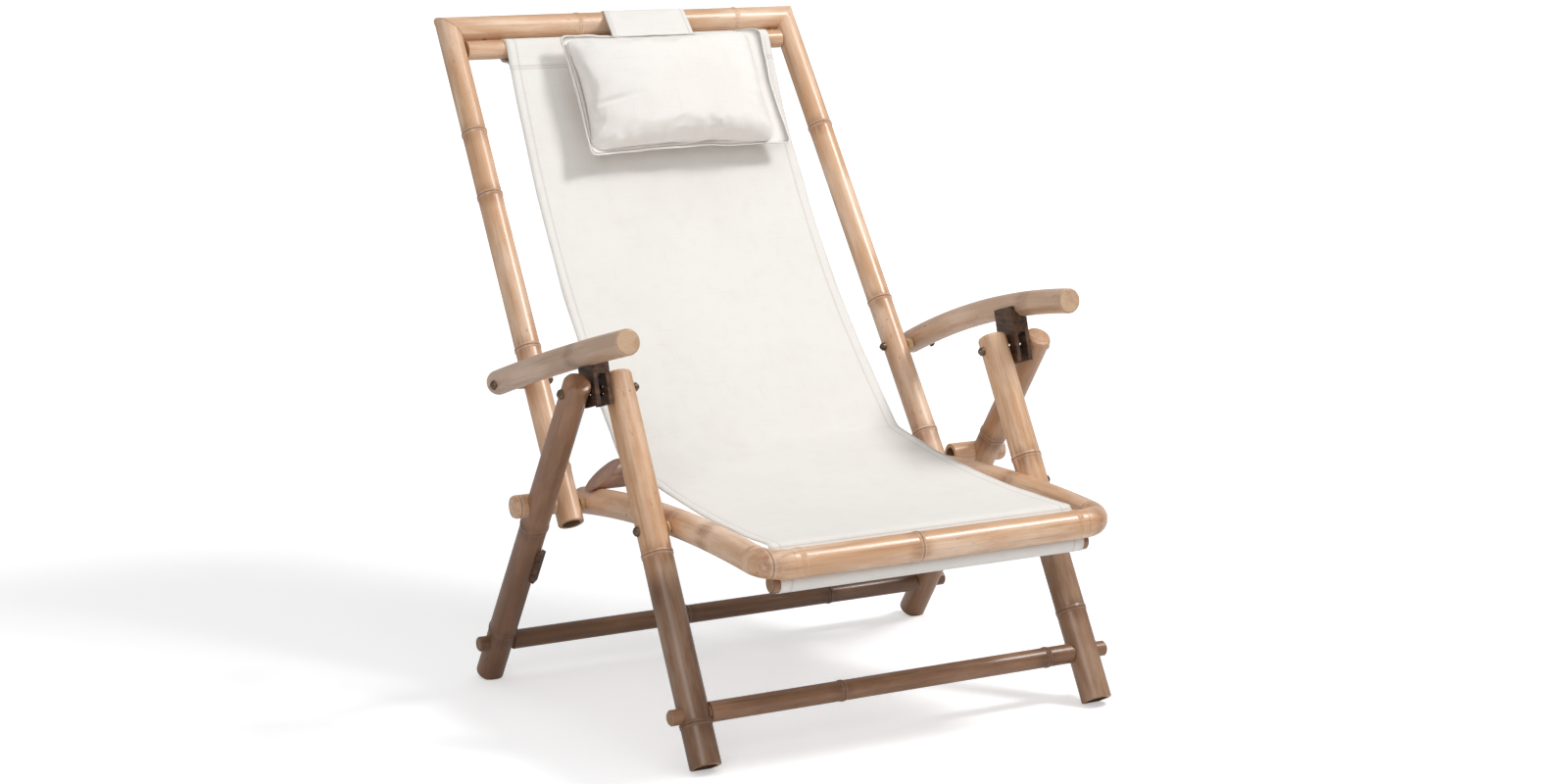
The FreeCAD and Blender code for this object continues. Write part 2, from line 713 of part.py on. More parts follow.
# Lower sling bar, pegged under the front rail.
low_y = FRONT_Y + val("lower_bar_behind")
low_z = FRONT_Z - val("lower_bar_below")
peg_way = Vector(0, low_y - FRONT_Y, low_z - FRONT_Z).normalize()
lower_half = val("seat_rail_half") - val("lower_bar_in")
lower_peg_half = lower_half - val("lower_peg_in")
rail_tools = []
low_tools = []
low_pegs = []
for side, sign in SIDES:
    a = Vector(sign * lower_peg_half, FRONT_Y, FRONT_Z)
    b = Vector(sign * lower_peg_half, low_y, low_z)
    hole = size("lower_peg_dia") / 2 + size("bolt_play")
    rail_tools.append(rod("front_rail_%s_peg_hole" % side, hole, a, b))
    low_tools.append(rod("lower_bar_%s_peg_hole" % side, hole, a, b + peg_way * 6))
    low_pegs.append(rod("lower_bar_peg_%s" % side, size("lower_peg_dia") / 2,
                        a + peg_way * 0.5, b + peg_way * 5.5))
keep("seat_front_rail", cut("seat_front_rail", front_rail, rail_tools))
low_long = (size("seat_rail_half") - size("lower_bar_in")) * 2
low_bar = pole("sling_lower_bar_pole", low_long, size("lower_bar_dia"),
               size("lower_bar_dia"), (), "solid", "solid")
low_bar.Placement = Placement(Vector(-lower_half, low_y, low_z),
                              Rotation(Vector(0, 0, 1), Vector(1, 0, 0)))
keep("sling_lower_bar", cut("sling_lower_bar", low_bar, low_tools))
keep("lower_bar_pegs", group("lower_bar_pegs", low_pegs))

# Armrests
# Gently arched poles with solid ends, bolted outside the stiles and hung on the legs.
arm_tilt = math.radians(val("arm_tilt"))
arm_rear = at(0, val("arm_rear_back"), PIVOT_Z - val("arm_rear_drop"))
arm_front = arm_rear + Vector(0, -math.cos(arm_tilt), math.sin(arm_tilt)) * val("arm_chord")
arm_way = (arm_front - arm_rear).normalize()
arm_up = Vector(0, -arm_way.z, arm_way.y)
if arm_up.z < 0:
    arm_up = arm_up * -1
hang_x0 = abs(front_axis(1, PIVOT_Z).x) + val("front_leg_dia") / 2 + val("hanger_clear") + 0.2
hang_x1 = abs(rear_axis(1, PIVOT_Z).x) - val("rear_leg_dia") / 2 - val("hanger_clear") - 0.2
for side, sign in SIDES:
    shift = Vector(sign * ARM_HALF, 0, 0)
    arm_rise = size("arm_%s_rise" % side)
    raw = arc_pole("armrest_%s_bend" % side, arm_rear + shift, arm_front + shift,
                   arm_rise, size("arm_dia"), arm_up)
    arm_bend = raw.Radius1.Value
    over_pivot = arm_bend - (Vector(0, TOP_Y, TOP_Z) + shift - raw.Placement.Base).Length
    soft = rounded("armrest_%s_soft" % side, raw,
                   [(arm_rear + shift, 9.0), (arm_front + shift, 2.5)])
    tools = [cross_hole("armrest_%s_hole" % side, sign, A_Y, A_Z, ARM_HALF, "arm_dia")]

    # Hanger: a channel of dark wood, open below, between the leg tops. The top
    # bolt passes it through wide holes, because this is the linkage's slack pivot.
    blank = doc.addObject("Part::Box", "arm_hanger_%s_blank" % side)
    blank.Length = hang_x1 - hang_x0
    bind(blank, "Width", size("hanger_long"))
    blank.Height = val("hanger_below") + over_pivot
    turn = Rotation(Vector(1, 0, 0), arm_way * -1, arm_up, "ZXY")
    mid_x = sign * (hang_x0 + hang_x1) / 2
    foot = Vector(mid_x, TOP_Y, TOP_Z) - arm_up * val("hanger_below")
    corner = foot + turn.multVec(Vector(-(hang_x1 - hang_x0) / 2, -val("hanger_long") / 2, 0))
    blank.Placement = Placement(corner, turn)
    slot = doc.addObject("Part::Box", "arm_hanger_%s_slot" % side)
    inside = hang_x1 - hang_x0 - 2 * val("hanger_wall")
    slot.Length = inside
    slot.Width = val("hanger_long") + 10
    slot.Height = val("hanger_below") + val("hanger_web_low") + 5
    slot_corner = foot + turn.multVec(Vector(-inside / 2, -val("hanger_long") / 2 - 5, -5))
    slot.Placement = Placement(slot_corner, turn)
    hold = arc_pole("arm_hanger_%s_saddle" % side, arm_rear + shift, arm_front + shift,
                    arm_rise, size("arm_dia") + 0.3, arm_up)
    upper = half_space("arm_hanger_%s_upper" % side,
                       Vector(mid_x, TOP_Y, TOP_Z) + arm_up * (over_pivot - 3.0), arm_up)
    hole = cross_hole("arm_hanger_%s_hole" % side, sign, TOP_Y, TOP_Z, abs(mid_x),
                      "hanger_room", size("hanger_hole_dia") / 2)
    # Screw up through the hanger's web into the armrest.
    screw_x = sign * (ARM_HALF - 9.0)
    screw_long = over_pivot - val("arm_dia") / 2 - val("hanger_web_low") + 12.0
    screw_low = Vector(screw_x, TOP_Y, TOP_Z) + arm_up * (val("hanger_web_low") - 0.2)
    screws = []
    screw_holes = []
    for number, step in enumerate((-12.0, 12.0)):
        a = screw_low + arm_way * step
        shank = rod("hanger_screw_%s_%d_shank" % (side, number), size("screw_dia") / 2,
                    a, a + arm_up * screw_long)
        head = rod("hanger_screw_%s_%d_head" % (side, number), size("screw_head_dia") / 2,
                   a - arm_up * 2.2, a)
        joined = doc.addObject("Part::Fuse", "hanger_screw_%s_%d" % (side, number))
        joined.Base = shank
        joined.Tool = head
        screws.append(joined)
        screw_holes.append(rod("hanger_screw_%s_%d_hole" % (side, number),
                               size("screw_dia") / 2 + size("bolt_play"),
                               a - arm_up * 1, a + arm_up * (screw_long + 0.5)))
        tools.append(rod("armrest_%s_screw_%d_hole" % (side, number),
                         size("screw_dia") / 2 + size("bolt_play"),
                         a - arm_up * 1, a + arm_up * (screw_long + 0.5)))
    keep("armrest_" + side, cut("armrest_" + side, soft, tools))
    keep("arm_hanger_" + side,
         cut("arm_hanger_" + side, blank, [slot, hold, upper, hole] + screw_holes))
    keep("arm_hanger_screws_" + side, group("arm_hanger_screws_" + side, screws))


# Pivot bolts
# Round-headed bolts along X with a cap nut on the other end.
def bolt(name, inner, outer, head_out):
    """Bolt turned about X with its head outside (or inside) and its shank to the nut."""
    r = size("bolt_dia") / 2
    head = size("bolt_head_dia") / 2
    high = size("bolt_head_high")
    a = plain(inner)
    b = plain(outer)
    zero = plain(0)
    if head_out:
        a = a - size("nut_high") + 1
        points = [(a, zero), (b, zero), (b + high, zero), (b + high, head * 0.45)]
        points += [(b + high * 0.55, head * 0.85), (b, head), (b, r), (a, r)]
        points = [points[0], points[2], points[3], points[4], points[5], points[6], points[7]]
    else:
        b = b + size("nut_high") - 1
        points = [(a - high, zero), (b, zero), (b, r), (a, r), (a, head)]
        points += [(a - high * 0.55, head * 0.85), (a - high, head * 0.45)]
    return turned(name, points, "H_Axis")


def nut(name, face, grows_out):
    """Cap nut seated at a face, with a bore for the bolt's end."""
    r = size("nut_dia") / 2
    inside = size("bolt_dia") / 2 + size("bolt_play")
    high = size("nut_high")
    f = plain(face)
    zero = plain(0)
    s = 1.0 if grows_out else -1.0
    deep = f + (high - 0.9) * s
    tip = f + high * s + 1.2 * s
    points = [(f, inside), (f, r), (f + high * 0.6 * s, r), (tip, r * 0.5), (tip, zero)]
    points += [(deep, zero), (deep, inside)]
    return turned(name, points, "H_Axis")


def tube(name, inner, outer):
    """Spacer round a bolt."""
    a = plain(inner)
    b = plain(outer)
    r = size("spacer_dia") / 2
    inside = size("bolt_dia") / 2 + size("bolt_play") * 2
    points = [(a, inside), (b, inside), (b, r - 0.8), (b - 0.8, r), (a + 0.8, r), (a, r - 0.8)]
    return turned(name, points, "H_Axis")


def both(node, maker, y, z):
    """The same turned piece on both sides, as two solids of one node."""
    made = []
    for side, sign in SIDES:
        piece = maker("%s_%s" % (node, side))
        spin = 0 if sign > 0 else 180
        piece.Placement = Placement(Vector(0, y, z), Rotation(Vector(0, 0, 1), spin))
        made.append(piece)
    keep(node, group(node, made))


gap = val("seat_gap")
front_r = val("front_leg_dia") / 2
rear_r = val("rear_leg_dia") / 2
stile_r = val("stile_dia") / 2
rail_r = val("seat_rail_dia") / 2

leg_in = abs(front_axis(1, TOP_Z).x) - front_r - gap - 0.2
leg_out = abs(rear_axis(1, TOP_Z).x) + rear_r + gap + 0.2
both("leg_pivot_bolts", lambda n: bolt(n, leg_in, leg_out, True), TOP_Y, TOP_Z)
both("leg_pivot_nuts", lambda n: nut(n, leg_in, False), TOP_Y, TOP_Z)

seat_in = val("seat_rail_half") - rail_r - gap
front_out = abs(front_axis(1, F_Z).x) + front_r + gap + 0.2
both("seat_pivot_bolts", lambda n: bolt(n, seat_in, front_out, True), F_Y, F_Z)
both("seat_pivot_nuts", lambda n: nut(n, seat_in, False), F_Y, F_Z)
rail_face = val("seat_rail_half") + rail_r + gap
front_face = abs(front_axis(1, F_Z).x) - front_r - gap - 0.2
both("seat_pivot_spacers", lambda n: tube(n, rail_face, front_face), F_Y, F_Z)

stile_out = abs(stile_axis(1, S_Z).x) + stile_r + gap + 0.4
both("back_pivot_bolts", lambda n: bolt(n, seat_in, stile_out, True), S_Y, S_Z)
both("back_pivot_nuts", lambda n: nut(n, seat_in, False), S_Y, S_Z)
stile_face = abs(stile_axis(1, S_Z).x) - stile_r - gap - 0.4
both("back_pivot_spacers", lambda n: tube(n, rail_face, stile_face), S_Y, S_Z)

arm_out = ARM_HALF + val("arm_dia") / 2 + gap
arm_in = abs(stile_axis(1, A_Z).x) - stile_r - gap - 0.4
both("arm_pivot_bolts", lambda n: bolt(n, arm_in, arm_out, True), A_Y, A_Z)
both("arm_pivot_nuts", lambda n: nut(n, arm_in, False), A_Y, A_Z)
stile_outer = abs(stile_axis(1, A_Z).x) + stile_r + gap + 0.4
arm_face = ARM_HALF - val("arm_dia") / 2 - gap
both("arm_pivot_spacers", lambda n: tube(n, stile_outer, arm_face), A_Y, A_Z)


# Sling
# One length of canvas with a sleeve round each bar. It hangs from the upper bar,
# bellies behind the sitter, runs to the front rail and turns down behind it.
thick = val("canvas_thick")
front_cloth = val("seat_rail_half") - val("seat_rail_dia") / 2 - val("sling_side_room")
top_cloth = front_cloth - val("sling_taper")
upper_sleeve = val("upper_bar_dia") / 2 + gap
lower_sleeve = val("lower_bar_dia") / 2 + gap


def side_line():
    """Side view of the cloth: places, and the way across the cloth at each."""
    over_bar = val("cross_bar_dia") / 2 + gap + thick / 2
    bend = Vector(0, CROSS_Y, CROSS_Z + over_bar)
    bar_at = Vector(0, upper_y, upper_z)
    hang = val("sling_hang")
    steep = 4 * hang / (bend - bar_at).Length
    down = (bend - bar_at).normalize()
    out = Vector(0, down.z, -down.y)
    if out.z < 0:
        out = out * -1
    start = bar_at + (out + down * steep).normalize() * (upper_sleeve + thick / 2 - 0.12)
    down = (bend - start).normalize()
    out = Vector(0, down.z, -down.y)
    if out.z < 0:
        out = out * -1
    seat_z = val("sling_seat_height")
    turn_x = low_y + lower_sleeve + thick / 2
    nose = 14.0
    front_top = Vector(0, turn_x + nose, seat_z)
    # The back of the cloth hangs behind a straight line between its two ends.
    reach = (bend - start).Length
    places = []
    for t in (0.0, 0.08, 0.16, 0.25, 0.35, 0.45, 0.55, 0.65, 0.75, 0.85, 0.93):
        p = start + (bend - start) * t - out * (4 * hang * t * (1 - t))
        lean = (out + down * (4 * hang * (1 - 2 * t) / reach)).normalize()
        places.append((p, lean, t))
    level = Vector(0, -0.24, 0.97).normalize()
    places.append((bend + Vector(0, 4.0, 2.4), (out + level).normalize(), 1.0))
    places.append((bend + Vector(0, -14.0, -3.2), level, 1.08))
    # Over the seat it hangs a little below a straight line to the front rail.
    for k in (0.13, 0.30, 0.48, 0.66, 0.84, 1.0):
        p = bend + (front_top - bend) * k + Vector(0, 0, -13.0 * 4 * k * (1 - k))
        places.append((p, (level * (1 - k) + Vector(0, 0, 1) * k).normalize(), 1.2 + k))
    for turn in (30.0, 60.0, 90.0):
        a = math.radians(turn)
        n = Vector(0, -math.sin(a), math.cos(a))
        p = Vector(0, turn_x + nose, seat_z - nose) + n * nose
        places.append((p, n, 2.3 + turn / 300))
    places.append((Vector(0, turn_x, low_z + 2), Vector(0, -1, 0), 2.7))
    return places


def strip(point, across, half, sag, thickness):
    """Cross-section of the cloth: a thin strip that sags between its edges."""
    a = thickness / 2
    left = Vector(-half, 0, 0) + point
    right = Vector(half, 0, 0) + point
    mid = point - across * sag
    if sag < 0.05:
        top = Part.LineSegment(left + across * a, right + across * a).toShape()
        low = Part.LineSegment(right - across * a, left - across * a).toShape()
    else:
        top = Part.Arc(left + across * a, mid + across * a, right + across * a).toShape()
        low = Part.Arc(right - across * a, mid - across * a, left - across * a).toShape()
    join_r = Part.LineSegment(right + across * a, right - across * a).toShape()
    join_l = Part.LineSegment(left - across * a, left + across * a).toShape()
    return Part.Wire([top, join_r, low, join_l])


def sling_shape():
    sections = []
    for point, across, t in side_line():
        share = min(max(t / 2.3, 0.0), 1.0)
        half = lerp(top_cloth, front_cloth, share)
        aside = Vector(val("sling_top_shift") * (1 - share), 0, 0)
        # Between its bars and the cross bar the middle sags below the edges.
        if t < 1.0:
            sag = val("sling_sag") * math.sin(t * math.pi) ** 2
        elif t < 2.2:
            sag = val("sling_sag") * math.sin((t - 1.0) / 1.2 * math.pi) ** 2
        else:
            sag = 0.0
        sag = max(sag, 0.06)
        sections.append(strip(point + aside, across, half, sag, thick))
    cloth = Part.makeLoft(sections, True, True)
    sleeves = []
    for y, z, inner, half, aside in (
            (upper_y, upper_z, upper_sleeve, top_cloth, val("sling_top_shift")),
            (low_y, low_z, lower_sleeve, front_cloth, 0.0)):
        base = Vector(aside - half, y, z)
        outer_tube = Part.makeCylinder(inner + thick, 2 * half, base, Vector(1, 0, 0))
        inner_tube = Part.makeCylinder(inner, 2 * half, base, Vector(1, 0, 0))
        sleeves.append(outer_tube.cut(inner_tube))
    reach = val("seat_rail_half")
    across = Vector(1, 0, 0)
    core = Part.makeCylinder(upper_sleeve, 2 * reach, Vector(-reach, upper_y, upper_z), across)
    core_low = Part.makeCylinder(lower_sleeve, 2 * reach, Vector(-reach, low_y, low_z), across)
    whole = cloth.cut(core).cut(core_low).fuse(sleeves[0]).fuse(sleeves[1])
    return whole.removeSplitter()


sling = doc.addObject("Part::Feature", "sling")
sling.Shape = sling_shape()
keep("sling", sling)

# Head pillow
# Plump canvas pillow with a flat rim, lying on the sling just under the top bar.
cloth_places = side_line()
cloth_top = cloth_places[0][0]
cloth_down = (cloth_places[4][0] - cloth_top).normalize()
cloth_out = Vector(0, cloth_down.z, -cloth_down.y)
if cloth_out.z < 0:
    cloth_out = cloth_out * -1
top_offset = (cloth_top - Vector(0, upper_y, upper_z)).dot(cloth_out)
pillow_lift = top_offset + thick / 2 - 2.4
pillow_mid = Vector(val("pillow_side"), upper_y, upper_z) + cloth_out * pillow_lift
pillow_mid = pillow_mid + cloth_down * (val("pillow_drop") + val("pillow_tall") / 2)


def soft_outline(wide, tall, corner, level):
    """Closed outline with drawn-in sides: four arcs and four corner arcs."""
    w = wide / 2
    t = tall / 2
    pull = min(wide, tall) * 0.03
    edges = []
    spots = [
        (Vector(-w + corner, -t, level), Vector(0, -t + pull, level), Vector(w - corner, -t, level)),
        (Vector(w, -t + corner, level), Vector(w - pull, 0, level), Vector(w, t - corner, level)),
        (Vector(w - corner, t, level), Vector(0, t - pull, level), Vector(-w + corner, t, level)),
        (Vector(-w, t - corner, level), Vector(-w + pull, 0, level), Vector(-w, -t + corner, level)),
    ]
    bulge = corner * (1 - math.sqrt(0.5))
    corners = [
        Vector(w - bulge, -t + bulge, level),
        Vector(w - bulge, t - bulge, level),
        Vector(-w + bulge, t - bulge, level),
        Vector(-w + bulge, -t + bulge, level),
    ]
    lean = val("pillow_skew") / val("pillow_tall")

    def skew(p):
        return Vector(p.x - lean * p.y, p.y, p.z)

    spots = [tuple(skew(p) for p in spot) for spot in spots]
    corners = [skew(p) for p in corners]
    for k in range(4):
        a, b, c = spots[k]
        edges.append(Part.Arc(a, b, c).toShape())
        edges.append(Part.Arc(c, corners[k], spots[(k + 1) % 4][0]).toShape())
    return Part.Wire(edges)


def pillow_shape():
    wide = val("pillow_wide")
    tall = val("pillow_tall")
    deep = val("pillow_thick")
    rim = val("pillow_rim")
    edge = val("pillow_edge")
    front = deep - rim - edge
    levels = [
        (0.0, 0.52, 34.0), (rim * 0.25, 0.70, 36.0), (rim * 0.65, 0.85, 34.0),
        (rim * 0.96, 0.93, 22.0), (rim, 1.0, 12.0), (rim + edge, 1.0, 12.0),
        (rim + edge * 1.3, 0.93, 22.0), (rim + edge + front * 0.36, 0.84, 34.0),
        (rim + edge + front * 0.72, 0.68, 38.0), (deep, 0.42, 30.0),
    ]
    wires = []
    for level, share, corner in levels:
        loss = (1 - share) * tall
        wires.append(soft_outline(wide - loss, tall - loss, corner, level))
    return Part.makeLoft(wires, True, True)


pillow = doc.addObject("Part::Feature", "head_pillow")
pillow.Shape = pillow_shape()
pillow.Placement = Placement(pillow_mid, Rotation(Vector(1, 0, 0), cloth_down * -1, cloth_out, "ZXY"))
keep("head_pillow", pillow)


# Pillow strap
# Wide canvas strap from the pillow's upper rim over the top rail to a tail behind it.
def strap_shape():
    r = val("top_rail_dia") / 2 + gap
    s = val("strap_thick")
    centre = Vector(0, left_corner.y, left_corner.z)
    front = cloth_out * 1.0
    low_end = pillow_mid - cloth_down * (val("pillow_tall") / 2 + 0.3)
    low_end = Vector(0, low_end.y, low_end.z) + cloth_out * (val("pillow_rim") + 2)
    # Tangent from the strap's lower end to the rail
    gap_line = centre - low_end
    reach = gap_line.Length
    spread = math.asin((r + s / 2) / reach)
    base_turn = math.atan2(gap_line.z, gap_line.y)
    way_turn = base_turn + spread
    way = Vector(0, math.cos(way_turn), math.sin(way_turn))
    touch = low_end + way * math.sqrt(reach * reach - (r + s / 2) ** 2)
    normal = (touch - centre).normalize()

    def ring(radius, start_turn, end_turn):
        pts = []
        for t in (start_turn, (start_turn + end_turn) / 2, end_turn):
            pts.append(centre + Vector(0, math.cos(t), math.sin(t)) * radius)
        return Part.Arc(*pts).toShape(), pts[0], pts[2]

    begin = math.atan2(normal.z, normal.y)
    end = 0.0
    outer, o1, o2 = ring(r + s, begin, end)
    inner, i1, i2 = ring(r, begin, end)
    tail = Vector(0, 0, -val("strap_tail"))
    o0 = low_end + normal * (s / 2)
    i0 = low_end - normal * (s / 2)
    edges = [Part.LineSegment(o0, o1).toShape(), outer,
             Part.LineSegment(o2, o2 + tail).toShape(),
             Part.LineSegment(o2 + tail, i2 + tail).toShape(),
             Part.LineSegment(i2 + tail, i2).toShape(), inner,
             Part.LineSegment(i1, i0).toShape(), Part.LineSegment(i0, o0).toShape()]
    face = Part.Face(Part.Wire(Part.__sortEdges__(edges)))
    solid = face.extrude(Vector(val("strap_wide"), 0, 0))
    solid.translate(Vector(val("strap_side") - val("strap_wide") / 2, 0, 0))
    return solid


strap = doc.addObject("Part::Feature", "pillow_strap")
strap.Shape = strap_shape()
keep("pillow_strap", strap)

doc.recompute()

faults = []
for obj in doc.Objects:
    if "Invalid" in obj.State or "Error" in obj.State:
        faults.append("%s: %s" % (obj.Name, obj.State))
for node, obj in NODES.items():
    shape = obj.Shape
    if shape.isNull() or not shape.isValid() or not shape.Solids:
        faults.append("%s: bad shape" % node)
if faults:
    raise RuntimeError("; ".join(faults))

low = Vector(1e9, 1e9, 1e9)
high = Vector(-1e9, -1e9, -1e9)
for node, obj in NODES.items():
    box = obj.Shape.BoundBox
    low = Vector(min(low.x, box.XMin), min(low.y, box.YMin), min(low.z, box.ZMin))
    high = Vector(max(high.x, box.XMax), max(high.y, box.YMax), max(high.z, box.ZMax))
    obj.Shape.exportStep("parts/%s.step" % node)
print("nodes", len(NODES), "low", low, "high", high)
print("pivots top %.2f %.2f front %.3f %.3f stile %.3f %.3f arm %.3f %.3f" % (
    TOP_Y, TOP_Z, F_Y, F_Z, S_Y, S_Z, A_Y, A_Z))
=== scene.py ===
import math

import bmesh
import bpy
from mathutils import Matrix, Vector, noise


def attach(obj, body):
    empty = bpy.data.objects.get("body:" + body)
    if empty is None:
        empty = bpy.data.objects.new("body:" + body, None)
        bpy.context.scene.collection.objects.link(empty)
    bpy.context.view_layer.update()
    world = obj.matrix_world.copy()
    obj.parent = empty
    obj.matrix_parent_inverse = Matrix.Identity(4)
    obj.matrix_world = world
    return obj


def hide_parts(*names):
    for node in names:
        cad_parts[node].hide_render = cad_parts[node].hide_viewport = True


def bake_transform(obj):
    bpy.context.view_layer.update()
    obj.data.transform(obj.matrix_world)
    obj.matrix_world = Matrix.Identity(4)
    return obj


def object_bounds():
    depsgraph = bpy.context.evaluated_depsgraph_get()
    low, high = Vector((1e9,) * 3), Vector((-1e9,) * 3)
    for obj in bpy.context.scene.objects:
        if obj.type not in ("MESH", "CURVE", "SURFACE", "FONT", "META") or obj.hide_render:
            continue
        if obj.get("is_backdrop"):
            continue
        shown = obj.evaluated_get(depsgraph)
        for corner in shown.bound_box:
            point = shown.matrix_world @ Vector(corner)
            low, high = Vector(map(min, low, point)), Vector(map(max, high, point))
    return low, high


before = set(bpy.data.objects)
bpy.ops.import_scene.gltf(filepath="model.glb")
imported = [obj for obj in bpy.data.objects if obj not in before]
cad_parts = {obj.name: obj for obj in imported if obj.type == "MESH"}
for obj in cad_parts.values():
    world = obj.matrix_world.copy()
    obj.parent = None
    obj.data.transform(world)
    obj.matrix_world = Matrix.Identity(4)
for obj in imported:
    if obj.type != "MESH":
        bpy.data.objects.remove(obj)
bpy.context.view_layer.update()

# Front legs
# Two straight bamboo poles, 41 mm thick, that lean back from open, square-cut
# feet to the top pivot. The skin is satin, with fine fibres, freckles and scars
# at the nodes. The culm shader below serves every pole of the chair.


def hue(red, green, blue):
    """A colour as it is mixed on paper, 0 to 255, made ready for a shader."""
    made = []
    for part in (red, green, blue):
        part = part / 255.0
        made.append(part / 12.92 if part <= 0.04045 else ((part + 0.055) / 1.055) ** 2.4)
    return (made[0], made[1], made[2], 1.0)


def add_step(tree, kind, feeds, **settings):
    """One shader node with its settings, fed by sockets or by plain values."""
    step = tree.nodes.new("ShaderNode" + kind)
    for name, value in settings.items():
        setattr(step, name, value)
    for socket, value in feeds.items():
        if isinstance(value, bpy.types.NodeSocket):
            tree.links.new(value, step.inputs[socket])
        else:
            step.inputs[socket].default_value = value
    return step


def work_out(tree, operation, *values):
    step = add_step(tree, "Math", dict(enumerate(values)), operation=operation)
    return step.outputs[0]


def fade(tree, value, low, high, start=0.0, end=1.0):
    """Smooth step from start to end while the value runs from low to high."""
    feeds = {"Value": value, "From Min": low, "From Max": high, "To Min": start, "To Max": end}
    return add_step(tree, "MapRange", feeds, interpolation_type="SMOOTHSTEP").outputs["Result"]


def stir(tree, amount, first, second):
    """Mix of two colours."""
    return add_step(tree, "Mix", {0: amount, 6: first, 7: second}, data_type="RGBA").outputs[2]


def cloudy(tree, place, stretch, scale, seed, detail=3.0, rough=0.55):
    """Noise over a place that is first stretched."""
    drawn = add_step(tree, "VectorMath", {0: place, 1: stretch}, operation="MULTIPLY").outputs[0]
    feeds = {"Vector": drawn, "W": seed, "Scale": scale, "Detail": detail, "Roughness": rough}
    return add_step(tree, "TexNoise", feeds, noise_dimensions="4D").outputs[0]


def new_effect(name, inputs, outputs):
    """Empty shader node group with named sockets."""
    tree = bpy.data.node_groups.new(name, "ShaderNodeTree")
    for label, kind in inputs:
        tree.interface.new_socket(label, in_out="INPUT", socket_type="NodeSocket" + kind)
    for label, kind in outputs:
        tree.interface.new_socket(label, in_out="OUTPUT", socket_type="NodeSocket" + kind)
    return tree, tree.nodes.new("NodeGroupInput").outputs, tree.nodes.new("NodeGroupOutput")


# One node of the culm: a fine dark line, pale ridges beside it and a brown stain.
ring_effect, given, wanted = new_effect(
    "culm ring", [("Along", "Float"), ("Ring", "Float")],
    [("Line", "Float"), ("Scar", "Float"), ("Stain", "Float")])
off = work_out(ring_effect, "SUBTRACT", given["Along"], given["Ring"])
apart = work_out(ring_effect, "ABSOLUTE", off)
below = work_out(ring_effect, "ABSOLUTE", work_out(ring_effect, "ADD", off, 0.004))
ring_effect.links.new(fade(ring_effect, apart, 0.0004, 0.0014, 1, 0), wanted.inputs["Line"])
ring_effect.links.new(fade(ring_effect, apart, 0.001, 0.0048, 1, 0), wanted.inputs["Scar"])
ring_effect.links.new(fade(ring_effect, below, 0.002, 0.024, 1, 0), wanted.inputs["Stain"])

# The whole skin. Place runs along the pole in Z, in metres, Facing is the normal
# in the same directions.
culm_effect, given, wanted = new_effect(
    "culm skin",
    [("Place", "Vector"), ("Facing", "Vector"), ("Radius", "Float"), ("Long", "Float"),
     ("Ring A", "Float"), ("Ring B", "Float"), ("Ring C", "Float"), ("Ring D", "Float"),
     ("Tan", "Color"), ("Pale", "Color"), ("Brown", "Color"), ("Cut", "Color"),
     ("Seed", "Float"), ("Low Shade", "Float"), ("Open", "Float"), ("Near End", "Float"),
     ("Far End", "Float")],
    [("Color", "Color"), ("Roughness", "Float"), ("Height", "Float")])
tree = culm_effect
place = given["Place"]
seed = given["Seed"]
split = add_step(tree, "SeparateXYZ", {0: place}).outputs
facing = add_step(tree, "SeparateXYZ", {0: given["Facing"]}).outputs
fibres = cloudy(tree, place, (1, 1, 0.018), 620.0, seed)
streaks = cloudy(tree, place, (1, 1, 0.03), 150.0, seed)
mottle = cloudy(tree, place, (1, 1, 0.22), 34.0, seed, 4.0, 0.6)
clouds = cloudy(tree, place, (1, 1, 0.5), 9.0, seed, 2.0)
dots = cloudy(tree, place, (1, 1, 0.4), 230.0, seed, 2.0)
scuffs = cloudy(tree, place, (1, 1, 0.1), 85.0, seed, 4.0, 0.7)
wobble = work_out(tree, "MULTIPLY", work_out(tree, "SUBTRACT", mottle, 0.5), 0.003)
along = work_out(tree, "ADD", split["Z"], wobble)
line = scar = stain = None
for letter in "ABCD":
    mark = add_step(tree, "Group", {}, node_tree=ring_effect)
    tree.links.new(along, mark.inputs["Along"])
    tree.links.new(given["Ring " + letter], mark.inputs["Ring"])
    if line is None:
        line, scar, stain = mark.outputs
    else:
        line = work_out(tree, "MAXIMUM", line, mark.outputs["Line"])
        scar = work_out(tree, "MAXIMUM", scar, mark.outputs["Scar"])
        stain = work_out(tree, "MAXIMUM", stain, mark.outputs["Stain"])
freckle = work_out(tree, "MULTIPLY", fade(tree, dots, 0.62, 0.72), fade(tree, clouds, 0.46, 0.62))
scuff = fade(tree, scuffs, 0.60, 0.72)
paint = stir(tree, fade(tree, mottle, 0.40, 0.66), given["Tan"], given["Pale"])
browning = work_out(tree, "MULTIPLY", fade(tree, streaks, 0.50, 0.78), 0.55)
paint = stir(tree, browning, paint, given["Brown"])
paint = stir(tree, work_out(tree, "MULTIPLY", fade(tree, fibres, 0.45, 0.8), 0.28),
             paint, given["Brown"])
paint = stir(tree, work_out(tree, "MULTIPLY", fade(tree, clouds, 0.52, 0.75), 0.35),
             paint, given["Brown"])
paint = stir(tree, work_out(tree, "MULTIPLY", scuff, 0.3), paint, given["Pale"])
paint = stir(tree, work_out(tree, "MULTIPLY", freckle, 0.55), paint, hue(92, 58, 34))
stained = work_out(tree, "MULTIPLY", stain, fade(tree, scuffs, 0.35, 0.62, 0.15, 0.75))
paint = stir(tree, stained, paint, given["Brown"])
paint = stir(tree, work_out(tree, "MULTIPLY", scar, 0.4), paint, given["Pale"])
paint = stir(tree, work_out(tree, "MULTIPLY", line, 0.55), paint, hue(84, 50, 28))
share = work_out(tree, "DIVIDE", split["Z"], given["Long"])
